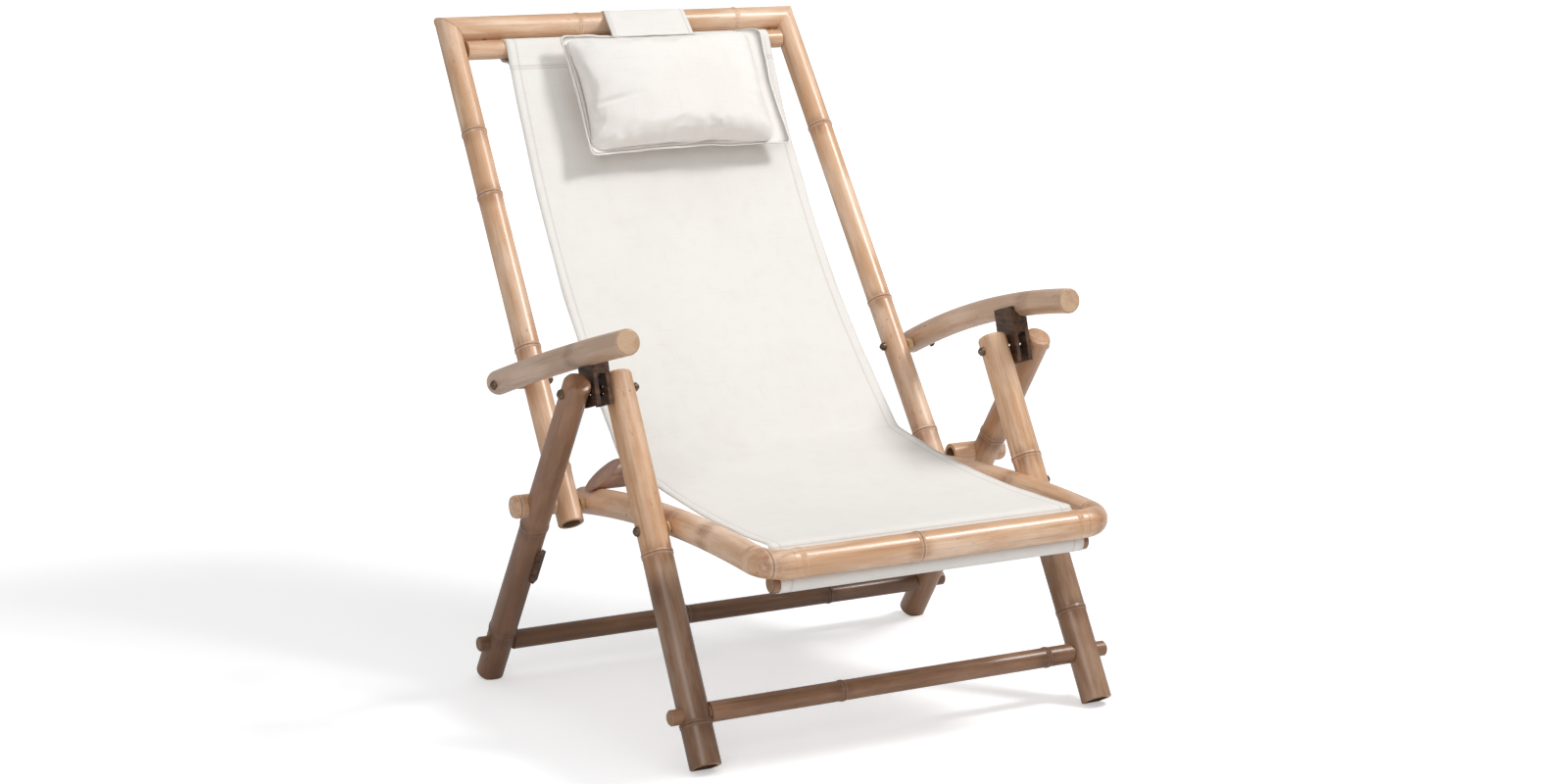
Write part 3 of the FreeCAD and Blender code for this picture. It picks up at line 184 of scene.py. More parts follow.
# Painted shade: the lower half of the pole is darkened towards a deep brown, by the amount the
# pole asks for.
painted_low_shade = work_out(tree, "MULTIPLY", fade(tree, share, 0.42, 0.56, 1, 0), given["Low Shade"])
painted_low_shade = work_out(tree, "MULTIPLY", painted_low_shade, fade(tree, mottle, 0.25, 0.65, 1.0, 0.72))
paint = stir(tree, painted_low_shade, paint, hue(96, 62, 40))
# Cut ends show the paler inner wood with its dark vessels; inside the bore the wall is darkened
# with painted shade.
near = fade(tree, share, 0.45, 0.55, 1, 0)
end = fade(tree, work_out(tree, "ABSOLUTE", facing["Z"]), 0.72, 0.9)
cut = add_step(tree, "Mix", {0: near, 2: given["Far End"], 3: given["Near End"]},
               data_type="FLOAT").outputs[0]
end = work_out(tree, "MULTIPLY", end, cut)
vessels = add_step(tree, "TexVoronoi", {"Vector": place, "Scale": 900.0}).outputs["Distance"]
vessel = fade(tree, vessels, 0.2, 0.42, 0.55, 0.0)
grain_end = stir(tree, vessel, given["Cut"], given["Brown"])
grain_end = stir(tree, fade(tree, mottle, 0.45, 0.7, 0.0, 0.4), grain_end, given["Brown"])
flat = add_step(tree, "VectorMath", {0: place, 1: (1, 1, 0)}, operation="MULTIPLY").outputs[0]
out = add_step(tree, "VectorMath", {0: flat}, operation="LENGTH").outputs["Value"]
depth = work_out(tree, "SUBTRACT", given["Radius"], out)
grain_end = stir(tree, fade(tree, depth, 0.0008, 0.0028, 0.75, 0.0), grain_end, given["Brown"])
paint = stir(tree, end, paint, grain_end)
shaded_bore = work_out(tree, "MULTIPLY", fade(tree, depth, 0.0045, 0.0056), given["Open"])
shaded_bore = work_out(tree, "MULTIPLY", shaded_bore, near)
paint = stir(tree, shaded_bore, paint, hue(124, 98, 76))
tree.links.new(paint, wanted.inputs["Color"])
rough = work_out(tree, "ADD", fade(tree, mottle, 0.3, 0.7, 0.34, 0.46),
                 work_out(tree, "MULTIPLY", scuff, 0.1))
rough = work_out(tree, "ADD", rough, work_out(tree, "MULTIPLY", end, 0.3))
rough = work_out(tree, "ADD", rough, work_out(tree, "MULTIPLY", shaded_bore, 0.3))
tree.links.new(rough, wanted.inputs["Roughness"])
height = work_out(tree, "ADD", work_out(tree, "MULTIPLY", fibres, 0.35),
                  work_out(tree, "MULTIPLY", streaks, 0.9))
height = work_out(tree, "SUBTRACT", height, work_out(tree, "MULTIPLY", line, 1.2))
height = work_out(tree, "SUBTRACT", height, work_out(tree, "MULTIPLY", freckle, 0.3))
height = work_out(tree, "ADD", height, work_out(tree, "MULTIPLY", scar, 0.4))
height = work_out(tree, "SUBTRACT", height, work_out(tree, "MULTIPLY", vessel, end))
tree.links.new(height, wanted.inputs["Height"])

# A bent pole is unrolled first: angle about the centre of its bend becomes length.
bend_effect, given, wanted = new_effect(
    "unrolled bend",
    [("Spot", "Vector"), ("Normal", "Vector"), ("Centre", "Vector"), ("Bend", "Float"),
     ("Start", "Float")],
    [("Place", "Vector"), ("Facing", "Vector")])
tree = bend_effect
arm = add_step(tree, "VectorMath", {0: given["Spot"], 1: given["Centre"]}, operation="SUBTRACT")
arm = add_step(tree, "SeparateXYZ", {0: arm.outputs[0]}).outputs
turn = work_out(tree, "ARCTAN2", arm["Z"], arm["Y"])
reach = work_out(tree, "SQRT", work_out(
    tree, "ADD", work_out(tree, "MULTIPLY", arm["Y"], arm["Y"]),
    work_out(tree, "MULTIPLY", arm["Z"], arm["Z"])))
run = work_out(tree, "MULTIPLY", work_out(tree, "SUBTRACT", turn, given["Start"]), given["Bend"])
unrolled = add_step(tree, "CombineXYZ", {
    "X": arm["X"], "Y": work_out(tree, "SUBTRACT", reach, given["Bend"]), "Z": run})
tree.links.new(unrolled.outputs[0], wanted.inputs["Place"])
look = add_step(tree, "SeparateXYZ", {0: given["Normal"]}).outputs
forward = work_out(tree, "SUBTRACT",
                   work_out(tree, "MULTIPLY", look["Z"], work_out(tree, "COSINE", turn)),
                   work_out(tree, "MULTIPLY", look["Y"], work_out(tree, "SINE", turn)))
faced = add_step(tree, "CombineXYZ", {"X": look["X"], "Y": 0.0, "Z": forward})
tree.links.new(faced.outputs[0], wanted.inputs["Facing"])

FRAME_TONE = (hue(212, 168, 130), hue(236, 204, 176), hue(158, 108, 72), hue(206, 168, 126))
ARM_TONE = (hue(196, 162, 134), hue(220, 190, 166), hue(152, 114, 84), hue(206, 172, 140))
LEG_TONE = (hue(204, 158, 118), hue(230, 194, 162), hue(142, 94, 60), hue(196, 158, 116))
DARK_TONE = (hue(136, 96, 66), hue(160, 118, 88), hue(90, 58, 38), hue(160, 124, 90))
SHADE_TONE = (hue(150, 112, 92), hue(172, 134, 112), hue(94, 54, 34), hue(160, 120, 94))
NO_RING = -9.0


def culm(name, tone, rings, radius, long, seed, start=None, way=None, bend=None, low_shade=0.0,
         hollow=0.0, ends=(1.0, 1.0)):
    """Bamboo material for one pole, straight from start along way, or bent."""
    material = bpy.data.materials.new(name)
    material.use_nodes = True
    tree = material.node_tree
    shader = tree.nodes["Principled BSDF"]
    spot = tree.nodes.new("ShaderNodeTexCoord").outputs
    if bend is None:
        way = Vector(way).normalized()
        level = Vector((1, 0, 0)) if abs(way.x) < 0.9 else Vector((0, 1, 0))
        level = (level - way * level.dot(way)).normalized()
        turn = Matrix((level, way.cross(level), way)).transposed().to_euler()
        place = add_step(tree, "Mapping", {"Vector": spot["Object"], "Location": start,
                                           "Rotation": turn}, vector_type="TEXTURE").outputs[0]
        facing = add_step(tree, "Mapping", {"Vector": spot["Normal"], "Rotation": turn},
                          vector_type="TEXTURE").outputs[0]
    else:
        centre, radius_of_bend, begin = bend
        unroll = add_step(tree, "Group", {}, node_tree=bend_effect)
        tree.links.new(spot["Object"], unroll.inputs["Spot"])
        tree.links.new(spot["Normal"], unroll.inputs["Normal"])
        unroll.inputs["Centre"].default_value = centre
        unroll.inputs["Bend"].default_value = radius_of_bend
        unroll.inputs["Start"].default_value = begin
        place, facing = unroll.outputs
    skin = add_step(tree, "Group", {}, node_tree=culm_effect)
    tree.links.new(place, skin.inputs["Place"])
    tree.links.new(facing, skin.inputs["Facing"])
    rings = list(rings) + [NO_RING] * (4 - len(rings))
    for letter, ring in zip("ABCD", rings):
        skin.inputs["Ring " + letter].default_value = ring
    for label, value in zip(("Tan", "Pale", "Brown", "Cut"), tone):
        skin.inputs[label].default_value = value
    for label, value in (("Radius", radius), ("Long", long), ("Seed", seed), ("Low Shade", low_shade),
                         ("Open", hollow), ("Near End", ends[0]), ("Far End", ends[1])):
        skin.inputs[label].default_value = value
    tree.links.new(skin.outputs["Color"], shader.inputs["Base Color"])
    tree.links.new(skin.outputs["Roughness"], shader.inputs["Roughness"])
    bump = add_step(tree, "Bump", {"Strength": 0.55, "Distance": 0.0006,
                                   "Height": skin.outputs["Height"]})
    tree.links.new(bump.outputs[0], shader.inputs["Normal"])
    shader.inputs["Coat Weight"].default_value = 0.4
    shader.inputs["Coat Roughness"].default_value = 0.24
    return material


def dress(node, material):
    """Puts a material on a piece of the frame."""
    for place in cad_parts[node].material_slots:
        place.material = material


# The last number in each row is how strongly painted shade darkens the lower half of the leg.
for side, sign, rings, seed, dark in (("left", -1, (0.105, 0.53), 1.3, 1.0),
                                      ("right", 1, (0.24, 0.66), 4.6, 0.82)):
    length = 0.5345
    dress("front_leg_" + side, culm(
        "front leg bamboo " + side, LEG_TONE, [length * r for r in rings], 0.0208, length, seed,
        start=(sign * 0.30096, -0.37266, 0.0071), way=(-sign * 0.01345, 0.47508, 0.87984),
        low_shade=dark, hollow=1.0, ends=(1.0, 0.0)))

# Rear legs
# Slimmer poles, 38 mm thick, outside the front legs. The left one takes the dark tone, painted
# shade for a leg that faces away from the light; both have their lower halves darkened with
# painted shade.
REAR_TONE = (hue(176, 132, 96), hue(202, 160, 124), hue(118, 78, 50), hue(180, 142, 104))
for side, sign, rings, seed, tone in (("left", -1, (0.16, 0.53), 7.1, DARK_TONE),
                                      ("right", 1, (0.22, 0.66), 9.4, REAR_TONE)):
    length = 0.5736
    dress("rear_leg_" + side, culm(
        "rear leg bamboo " + side, tone, [length * r for r in rings], 0.0193, length, seed,
        start=(sign * 0.3522, 0.19233, 0.00862), way=(sign * 0.01243, -0.58185, 0.8132),
        low_shade=0.5, hollow=1.0, ends=(1.0, 0.0)))

# Stretchers
# Thin poles that cross between the legs; their whittled ends stand out of the legs.
dress("front_stretcher", culm(
    "front stretcher bamboo", DARK_TONE, (0.2513, 0.5729), 0.0135, 0.67, 11.7,
    start=(-0.33503, -0.33978, 0.068), way=(1, 0, 0)))
# The rear stretcher takes a darker tone, painted shade for where it sits low under the chair.
SHADED_STRETCHER_TONE = (hue(112, 78, 52), hue(134, 98, 70), hue(76, 48, 32), hue(150, 114, 82))
dress("rear_stretcher", culm(
    "rear stretcher bamboo", SHADED_STRETCHER_TONE, (0.3268, 0.5652), 0.0135, 0.769, 13.2,
    start=(-0.38449, 0.15557, 0.06), way=(1, 0, 0)))

# Stop pegs
# Short offcuts, open at the inner end, let into the rear legs. The left one ends
# just inside its leg.
for side, sign, begin, length, seed in (("left", -1, 0.33243, 0.0606, 15.8),
                                         ("right", 1, 0.30403, 0.089, 17.9)):
    dress("stop_peg_" + side, culm(
        "stop peg bamboo " + side, FRAME_TONE, (length * 0.86,), 0.016, length, seed,
        start=(sign * begin, 0.00558, 0.2849), way=(sign, 0, 0), hollow=1.0,
        ends=(1.0, 0.0)))

# Dark battens, hangers and pegs
# Small pieces of stained hardwood: battens on the rear legs, the channel-shaped
# hangers below the armrests and the pegs of the two sling bars. Planed, then oiled.
wood_effect, given, wanted = new_effect(
    "oiled hardwood",
    [("Place", "Vector"), ("Dark", "Color"), ("Light", "Color")],
    [("Color", "Color"), ("Roughness", "Float"), ("Height", "Float")])
tree = wood_effect
figure = cloudy(tree, given["Place"], (1, 0.12, 1), 190.0, 2.0, 4.0, 0.65)
pores = cloudy(tree, given["Place"], (1, 0.05, 1), 900.0, 5.0, 2.0)
rubbed = cloudy(tree, given["Place"], (1, 1, 1), 60.0, 8.0, 3.0)
paint = stir(tree, fade(tree, figure, 0.35, 0.7), given["Dark"], given["Light"])
paint = stir(tree, fade(tree, rubbed, 0.55, 0.75, 0.0, 0.5), paint, given["Light"])
tree.links.new(paint, wanted.inputs["Color"])
tree.links.new(fade(tree, rubbed, 0.3, 0.7, 0.5, 0.68), wanted.inputs["Roughness"])
tree.links.new(work_out(tree, "ADD", pores, work_out(tree, "MULTIPLY", figure, 0.5)),
               wanted.inputs["Height"])


def hardwood(name, dark, light):
    material = bpy.data.materials.new(name)
    material.use_nodes = True
    tree = material.node_tree
    shader = tree.nodes["Principled BSDF"]
    spot = tree.nodes.new("ShaderNodeTexCoord").outputs
    grain = add_step(tree, "Group", {}, node_tree=wood_effect)
    tree.links.new(spot["Object"], grain.inputs["Place"])
    grain.inputs["Dark"].default_value = dark
    grain.inputs["Light"].default_value = light
    tree.links.new(grain.outputs["Color"], shader.inputs["Base Color"])
    tree.links.new(grain.outputs["Roughness"], shader.inputs["Roughness"])
    bump = add_step(tree, "Bump", {"Strength": 0.5, "Distance": 0.0004,
                                   "Height": grain.outputs["Height"]})
    tree.links.new(bump.outputs[0], shader.inputs["Normal"])
    return material


dark_wood = hardwood("dark oiled wood", hue(52, 34, 22), hue(104, 72, 48))
peg_wood = hardwood("peg wood", hue(92, 60, 38), hue(140, 98, 62))
for side in ("left", "right"):
    dress("rear_leg_batten_" + side, dark_wood)
    dress("arm_hanger_" + side, dark_wood)
dress("upper_bar_pegs", peg_wood)
dress("lower_bar_pegs", peg_wood)

# Bolts, nuts and screws
# Plain steel, dulled by handling, with a brownish film in places.
steel = bpy.data.materials.new("dulled steel")
steel.use_nodes = True
tree = steel.node_tree
shader = tree.nodes["Principled BSDF"]
spot = tree.nodes.new("ShaderNodeTexCoord").outputs["Object"]
film = cloudy(tree, spot, (1, 1, 1), 260.0, 3.0, 4.0)
scratch = cloudy(tree, spot, (1, 1, 0.1), 1500.0, 6.0, 2.0)
paint = stir(tree, fade(tree, film, 0.45, 0.7), hue(122, 104, 88), hue(88, 66, 48))
tree.links.new(paint, shader.inputs["Base Color"])
tree.links.new(fade(tree, film, 0.35, 0.7, 0.34, 0.6), shader.inputs["Roughness"])
tree.links.new(fade(tree, film, 0.45, 0.75, 0.95, 0.6), shader.inputs["Metallic"])
bump = add_step(tree, "Bump", {"Strength": 0.3, "Distance": 0.0002, "Height": scratch})
tree.links.new(bump.outputs[0], shader.inputs["Normal"])
for node in ("leg_pivot_bolts", "leg_pivot_nuts", "seat_pivot_bolts", "seat_pivot_nuts",
             "back_pivot_bolts", "back_pivot_nuts", "arm_pivot_bolts", "arm_pivot_nuts",
             "arm_hanger_screws_left", "arm_hanger_screws_right"):
    dress(node, steel)

# Spacers
# Pale rings round the bolts, between the rails, stiles and arms, with a fine grain.
spacer_wood = hardwood("spacer wood", hue(196, 160, 112), hue(222, 190, 146))
for node in ("seat_pivot_spacers", "back_pivot_spacers", "arm_pivot_spacers"):
    dress(node, spacer_wood)

# Seat frame
# Bent side rails, 38 mm, and a front rail whose ends turn back to meet them.
for side, sign, rings, seed in (("left", -1, (0.012, 0.214, 0.304, 0.398), 21.5),
                                ("right", 1, (0.13, 0.33), 23.4)):
    dress("seat_side_rail_" + side, culm(
        "seat side bamboo " + side, FRAME_TONE, rings, 0.019, 0.503, seed,
        bend=((sign * 0.253, -0.23093, -1.96917), 2.25704,
              math.atan2(0.9965, -0.0834) - math.radians(12.77))))
dress("seat_front_rail", culm(
    "front rail bamboo", FRAME_TONE, (-0.028, 0.1848, 0.468), 0.019, 0.44, 26.1,
    start=(-0.22, -0.45208, 0.27725), way=(1, 0, 0), ends=(0.0, 0.0)))
dress("seat_cross_bar", culm(
    "cross bar bamboo", SHADE_TONE, (0.21,), 0.02, 0.544, 27.4,
    start=(-0.272, 0.0308, 0.3096), way=(1, 0, 0), ends=(0.4, 0.4)))
dress("sling_lower_bar", culm(
    "lower bar bamboo", DARK_TONE, (), 0.012, 0.474, 28.6,
    start=(-0.237, -0.43108, 0.24925), way=(1, 0, 0)))

# Back frame
# Two long stiles, 36 mm, mitred to the top rail, with the sling's bar below it.
for side, sign, rings, seed in (("left", -1, (0.10, 0.323, 0.617, 0.741), 31.2),
                                ("right", 1, (0.09, 0.354, 0.717), 34.9)):
    length = 0.8227
    dress("back_stile_" + side, culm(
        "stile bamboo " + side, FRAME_TONE, [length * r for r in rings], 0.0181, length, seed,
        start=(sign * 0.29797, 0.0228, 0.248), way=(-sign * 0.02428, 0.54685, 0.83688),
        hollow=1.0, ends=(1.0, 0.0)))
dress("back_top_rail", culm(
    "top rail bamboo", FRAME_TONE, (), 0.0185, 0.638, 37.3,
    start=(-0.31897, 0.4508, 0.903), way=(1, 0, 0), ends=(0.0, 0.0)))
dress("sling_upper_bar", culm(
    "upper bar bamboo", LEG_TONE, (), 0.014, 0.5225, 39.5,
    start=(-0.26124, 0.43111, 0.87286), way=(1, 0, 0)))

# Armrests
# Thicker-walled, greyer poles with solid ends; the right one is more arched.
for side, sign, centre, bend_radius, begin, rings, seed in (
        ("left", -1, (-0.33797, -1.82105, -6.13126), 6.85332, math.atan2(0.9567, 0.2912),
         (0.29,), 41.2),
        ("right", 1, (0.33797, -0.42499, -0.95726), 1.50678, math.atan2(0.9174, 0.3981),
         (0.345,), 44.8)):
    dress("armrest_" + side, culm(
        "armrest bamboo " + side, ARM_TONE, rings, 0.0175, 0.44, seed,
        bend=(centre, bend_radius, begin)))

# Sling
# One length of off-white cotton canvas, about 0.45 m wide, hemmed, with a sleeve
# round a bar at each end. It hangs in a slack curve down the back, passes over the
# cross bar and turns down behind the front rail.
UPPER_BAR = Vector((0, 0.43111, 0.87286))
LOWER_BAR = Vector((0, -0.43108, 0.24925))
BEND_SPOT = Vector((0, 0.0348, 0.3332))
FRONT_SPOT = Vector((0, -0.4110, 0.2921))
ROW_GAP = 0.0085
HALF_FLAT = 0.2235
SLING_THICK = 0.0013
sleeve_down = Vector((0, -0.381, -0.924))
sleeve_front = Vector((0, -0.924, 0.381))


def smooth_path(points, spacing):
    """Points at an even spacing along a soft curve through the given ones."""
    dense = []
    for i in range(len(points) - 1):
        a = points[max(i - 1, 0)]
        b = points[i]
        c = points[i + 1]
        d = points[min(i + 2, len(points) - 1)]
        for k in range(24):
            t = k / 24.0
            dense.append(0.5 * (2 * b + (c - a) * t + (2 * a - 5 * b + 4 * c - d) * t * t
                                + (3 * b - a - 3 * c + d) * t * t * t))
    dense.append(points[-1])
    total = sum((dense[i + 1] - dense[i]).length for i in range(len(dense) - 1))
    count = max(int(round(total / spacing)), 2)
    even = [dense[0]]
    step = total / count
    walked = 0.0
    target = step
    for i in range(len(dense) - 1):
        piece = (dense[i + 1] - dense[i]).length
        while piece > 0 and walked + piece >= target - 1e-9 and len(even) < count:
            even.append(dense[i].lerp(dense[i + 1], (target - walked) / piece))
            target += step
        walked += piece
    even.append(dense[-1])
    return even, total


route = []
grip = 0.0150
tack = UPPER_BAR + sleeve_front * (grip - 0.0012) + sleeve_down * 0.036
route.append(tack)
route.append(tack - sleeve_down * 0.010 - sleeve_front * 0.0026)
route.append(UPPER_BAR - sleeve_front * (grip - 0.003) + sleeve_down * 0.014)
for step in range(7):
    turn = math.pi * (0.05 + 0.95 * step / 6.0)
    route.append(UPPER_BAR - sleeve_front * (grip * math.cos(turn))
                 - sleeve_down * (grip * math.sin(turn)))
for y, z in ((0.3956, 0.8286), (0.3722, 0.7794), (0.3440, 0.7254), (0.3104, 0.6671),
             (0.2742, 0.6105), (0.2355, 0.5557), (0.1944, 0.5027), (0.1507, 0.4514),
             (0.1046, 0.4018), (0.0660, 0.3634), (0.0348, 0.3332), (0.0168, 0.3276),
             (-0.0257, 0.3201), (-0.0996, 0.3088), (-0.1779, 0.3001), (-0.2562, 0.2948),
             (-0.3344, 0.2929), (-0.4030, 0.2940), (-0.4110, 0.2921), (-0.4161, 0.2870),
             (-0.4180, 0.2800)):
    route.append(Vector((0, y, z)))
hold = 0.0130
for step in range(8):
    turn = -math.pi * 1.22 * step / 7.0
    route.append(LOWER_BAR + Vector((0, math.cos(turn), math.sin(turn))) * hold)
route.append(Vector((0, -0.4215, 0.2672)))
route.append(Vector((0, -0.4204, 0.2820)))
rows, sling_long = smooth_path(route, ROW_GAP)

# Distance along the cloth of each row, to find where it leaves the upper bar, bends
# and reaches the front rail.
gone = [0.0]
for i in range(len(rows) - 1):
    gone.append(gone[-1] + (rows[i + 1] - rows[i]).length)


def nearest_row(spot):
    return min(range(len(rows)), key=lambda i: (rows[i] - spot).length)


start_row = nearest_row(UPPER_BAR + sleeve_front * grip)
bend_row = nearest_row(BEND_SPOT)
front_row = nearest_row(FRONT_SPOT)

COLUMNS = 56
TOP_HALF = 0.219
FRONT_HALF = 0.228
TOP_SHIFT = 0.016
SAG = 0.008
sling_mesh = bmesh.new()
cloth_map = sling_mesh.loops.layers.uv.new("cloth")
grid = []
for i, point in enumerate(rows):
    s = gone[i]
    ahead = rows[min(i + 1, len(rows) - 1)] - rows[max(i - 1, 0)]
    face = Vector((0, ahead.z, -ahead.y)).normalized()
    run = (s - gone[start_row]) / (gone[front_row] - gone[start_row])
    run = min(max(run, 0.0), 1.0)
    half = TOP_HALF + (FRONT_HALF - TOP_HALF) * run
    aside = TOP_SHIFT * (1 - run)
    if i <= start_row or i >= front_row:
        droop = 0.0
    elif i <= bend_row:
        t = (s - gone[start_row]) / (gone[bend_row] - gone[start_row])
        droop = SAG * math.sin(t * math.pi) ** 2
    else:
        t = (s - gone[bend_row]) / (gone[front_row] - gone[bend_row])
        droop = SAG * math.sin(t * math.pi) ** 2
    calm = min(1.0, max(0.0, (i - start_row) / 14.0)) * min(1.0, max(0.0, (front_row - i) / 10.0))
    beside_bar = (s - gone[bend_row]) / 0.045
    calm *= 1 - math.exp(-beside_bar ** 2)
    below_bend = math.exp(-((s - gone[bend_row] - 0.09) / 0.07) ** 2)
    line_of = []
    for k in range(COLUMNS + 1):
        u = 2.0 * k / COLUMNS - 1.0
        x = aside + half * u
        sag = droop * (1 - u * u)
        ripple = noise.noise(Vector((x * 5.0, s * 3.2, 0.3))) * 0.0026
        ripple += noise.noise(Vector((x * 16.0 + s * 7.0, s * 9.0, 4.1))) * 0.0009
        crease = noise.noise(Vector((x * 7.0, s * 26.0, 8.7))) * 0.0020 * below_bend
        edge = max(0.0, abs(u) - 0.93) / 0.07
        curl = noise.noise(Vector((u * 2.0, s * 11.0, 12.0))) * 0.0026 * edge
        lift = (ripple + crease + curl) * calm
        inset = noise.noise(Vector((u * 3.0, s * 6.0, 20.0))) * 0.0022 * edge * calm
        spot = point + face * (lift - sag)
        line_of.append(sling_mesh.verts.new((x - u * abs(inset), spot.y, spot.z)))
    grid.append(line_of)
for i in range(len(rows) - 1):
    for k in range(COLUMNS):
        corners = (grid[i][k], grid[i][k + 1], grid[i + 1][k + 1], grid[i + 1][k])
        quad = sling_mesh.faces.new(corners)
        quad.smooth = True
        for loop, (a, b) in zip(quad.loops, ((i, k), (i, k + 1), (i + 1, k + 1), (i + 1, k))):
            loop[cloth_map].uv = ((2.0 * b / COLUMNS - 1.0) * HALF_FLAT, gone[a])
made = bpy.data.meshes.new("canvas_sling")
sling_mesh.normal_update()
sling_mesh.to_mesh(made)
sling_mesh.free()
sling = bpy.data.objects.new("canvas_sling", made)
bpy.context.scene.collection.objects.link(sling)


def thicken(piece, amount, offset=0.0):
    """Gives a sheet its thickness, with the middle of the cloth where it was drawn."""
    solid = piece.modifiers.new("thickness", "SOLIDIFY")
    solid.thickness = amount
    solid.offset = offset
    solid.use_even_offset = True
    bpy.context.view_layer.objects.active = piece
    bpy.ops.object.modifier_apply(modifier=solid.name)


thicken(sling, SLING_THICK)

# Canvas weave: threads 1.1 mm apart, uneven slubs, a little greying, and rows of
# stitches along the hems and the sleeves, all laid out on the flat cloth.
canvas_effect, given, wanted = new_effect(
    "canvas weave",
    [("Cloth", "Vector"), ("Place", "Vector"), ("White", "Color"), ("Grey", "Color"),
     ("Pitch", "Float")],
    [("Color", "Color"), ("Height", "Float")])
tree = canvas_effect
split = add_step(tree, "SeparateXYZ", {0: given["Cloth"]}).outputs
over = work_out(tree, "MULTIPLY", work_out(tree, "DIVIDE", split["X"], given["Pitch"]), math.pi)
under = work_out(tree, "MULTIPLY", work_out(tree, "DIVIDE", split["Y"], given["Pitch"]), math.pi)
warp = work_out(tree, "ABSOLUTE", work_out(tree, "SINE", over))
weft = work_out(tree, "ABSOLUTE", work_out(tree, "SINE", under))
both = work_out(tree, "SINE", over)
both = work_out(tree, "MULTIPLY", both, work_out(tree, "SINE", under))
side_up = fade(tree, both, -0.1, 0.1)
thread = add_step(tree, "Mix", {0: side_up, 2: warp, 3: weft}, data_type="FLOAT").outputs[0]
slub_a = cloudy(tree, given["Cloth"], (1, 0.04, 1), 420.0, 1.0)
slub_b = cloudy(tree, given["Cloth"], (0.04, 1, 1), 420.0, 4.0)
slub = work_out(tree, "MAXIMUM", slub_a, slub_b)
patch = cloudy(tree, given["Place"], (1, 1, 1), 7.0, 2.0, 3.0)
dust = cloudy(tree, given["Place"], (1, 1, 1), 46.0, 3.0, 4.0)
amount = work_out(tree, "MULTIPLY", fade(tree, slub, 0.55, 0.8), 0.22)
amount = work_out(tree, "ADD", amount, fade(tree, patch, 0.4, 0.7, 0.0, 0.08))
amount = work_out(tree, "ADD", amount, fade(tree, dust, 0.45, 0.75, 0.0, 0.08))
# Painted shade: the gaps between the threads turn a little greyer.
amount = work_out(tree, "ADD", amount, fade(tree, thread, 0.0, 0.6, 0.18, 0.0))
tree.links.new(stir(tree, amount, given["White"], given["Grey"]), wanted.inputs["Color"])
height = work_out(tree, "ADD", thread, work_out(tree, "MULTIPLY", slub, 0.8))
tree.links.new(height, wanted.inputs["Height"])

# One row of stitches: dashes 3.2 mm long on a line at a set distance.
stitch_effect, given, wanted = new_effect(
    "stitch row",
    [("Off", "Float"), ("Along", "Float")],
    [("Thread", "Float"), ("Dent", "Float")])
tree = stitch_effect
apart = work_out(tree, "ABSOLUTE", given["Off"])
beat = work_out(tree, "FRACT", work_out(tree, "DIVIDE", given["Along"], 0.0042))
dash = work_out(tree, "ABSOLUTE", work_out(tree, "SUBTRACT", beat, 0.5))
dash = fade(tree, dash, 0.34, 0.42, 1, 0)
tree.links.new(work_out(tree, "MULTIPLY", fade(tree, apart, 0.0004, 0.0009, 1, 0), dash),
               wanted.inputs["Thread"])
tree.links.new(fade(tree, apart, 0.0006, 0.0032, 1, 0), wanted.inputs["Dent"])


def canvas(name, white, grey, pitch=0.0011):
    """Canvas material; returns it with the parts that stitches are added to."""
    material = bpy.data.materials.new(name)
    material.use_nodes = True
    tree = material.node_tree
    shader = tree.nodes["Principled BSDF"]
    spot = tree.nodes.new("ShaderNodeTexCoord").outputs
    flat = add_step(tree, "UVMap", {}, uv_map="cloth").outputs[0]
    weave = add_step(tree, "Group", {}, node_tree=canvas_effect)
    tree.links.new(flat, weave.inputs["Cloth"])
    tree.links.new(spot["Object"], weave.inputs["Place"])
    weave.inputs["White"].default_value = white
    weave.inputs["Grey"].default_value = grey
    weave.inputs["Pitch"].default_value = pitch
    shader.inputs["Roughness"].default_value = 0.92
    shader.inputs["Specular IOR Level"].default_value = 0.25
    shader.inputs["Sheen Weight"].default_value = 0.25
    shader.inputs["Sheen Roughness"].default_value = 0.5
    return material, tree, shader, flat, weave


def finish_canvas(tree, shader, weave, rows_of_stitches):
    """Adds stitch rows and feeds the shader."""
    paint = weave.outputs["Color"]
    height = work_out(tree, "MULTIPLY", weave.outputs["Height"], 0.35)
    for thread, dent in rows_of_stitches:
        paint = stir(tree, work_out(tree, "MULTIPLY", thread, 0.5), paint, hue(196, 188, 176))
        # Painted shade: the dent beside each stitch row is darkened a little.
        paint = stir(tree, work_out(tree, "MULTIPLY", dent, 0.06), paint, hue(150, 138, 124))
        height = work_out(tree, "SUBTRACT", height, work_out(tree, "MULTIPLY", dent, 1.4))
        height = work_out(tree, "ADD", height, work_out(tree, "MULTIPLY", thread, 1.2))
    tree.links.new(paint, shader.inputs["Base Color"])
    bump = add_step(tree, "Bump", {"Strength": 0.6, "Distance": 0.0004, "Height": height})
    tree.links.new(bump.outputs[0], shader.inputs["Normal"])


def stitches(tree, off, along):
    row = add_step(tree, "Group", {}, node_tree=stitch_effect)
    tree.links.new(off, row.inputs["Off"])
    tree.links.new(along, row.inputs["Along"])
    return row.outputs["Thread"], row.outputs["Dent"]


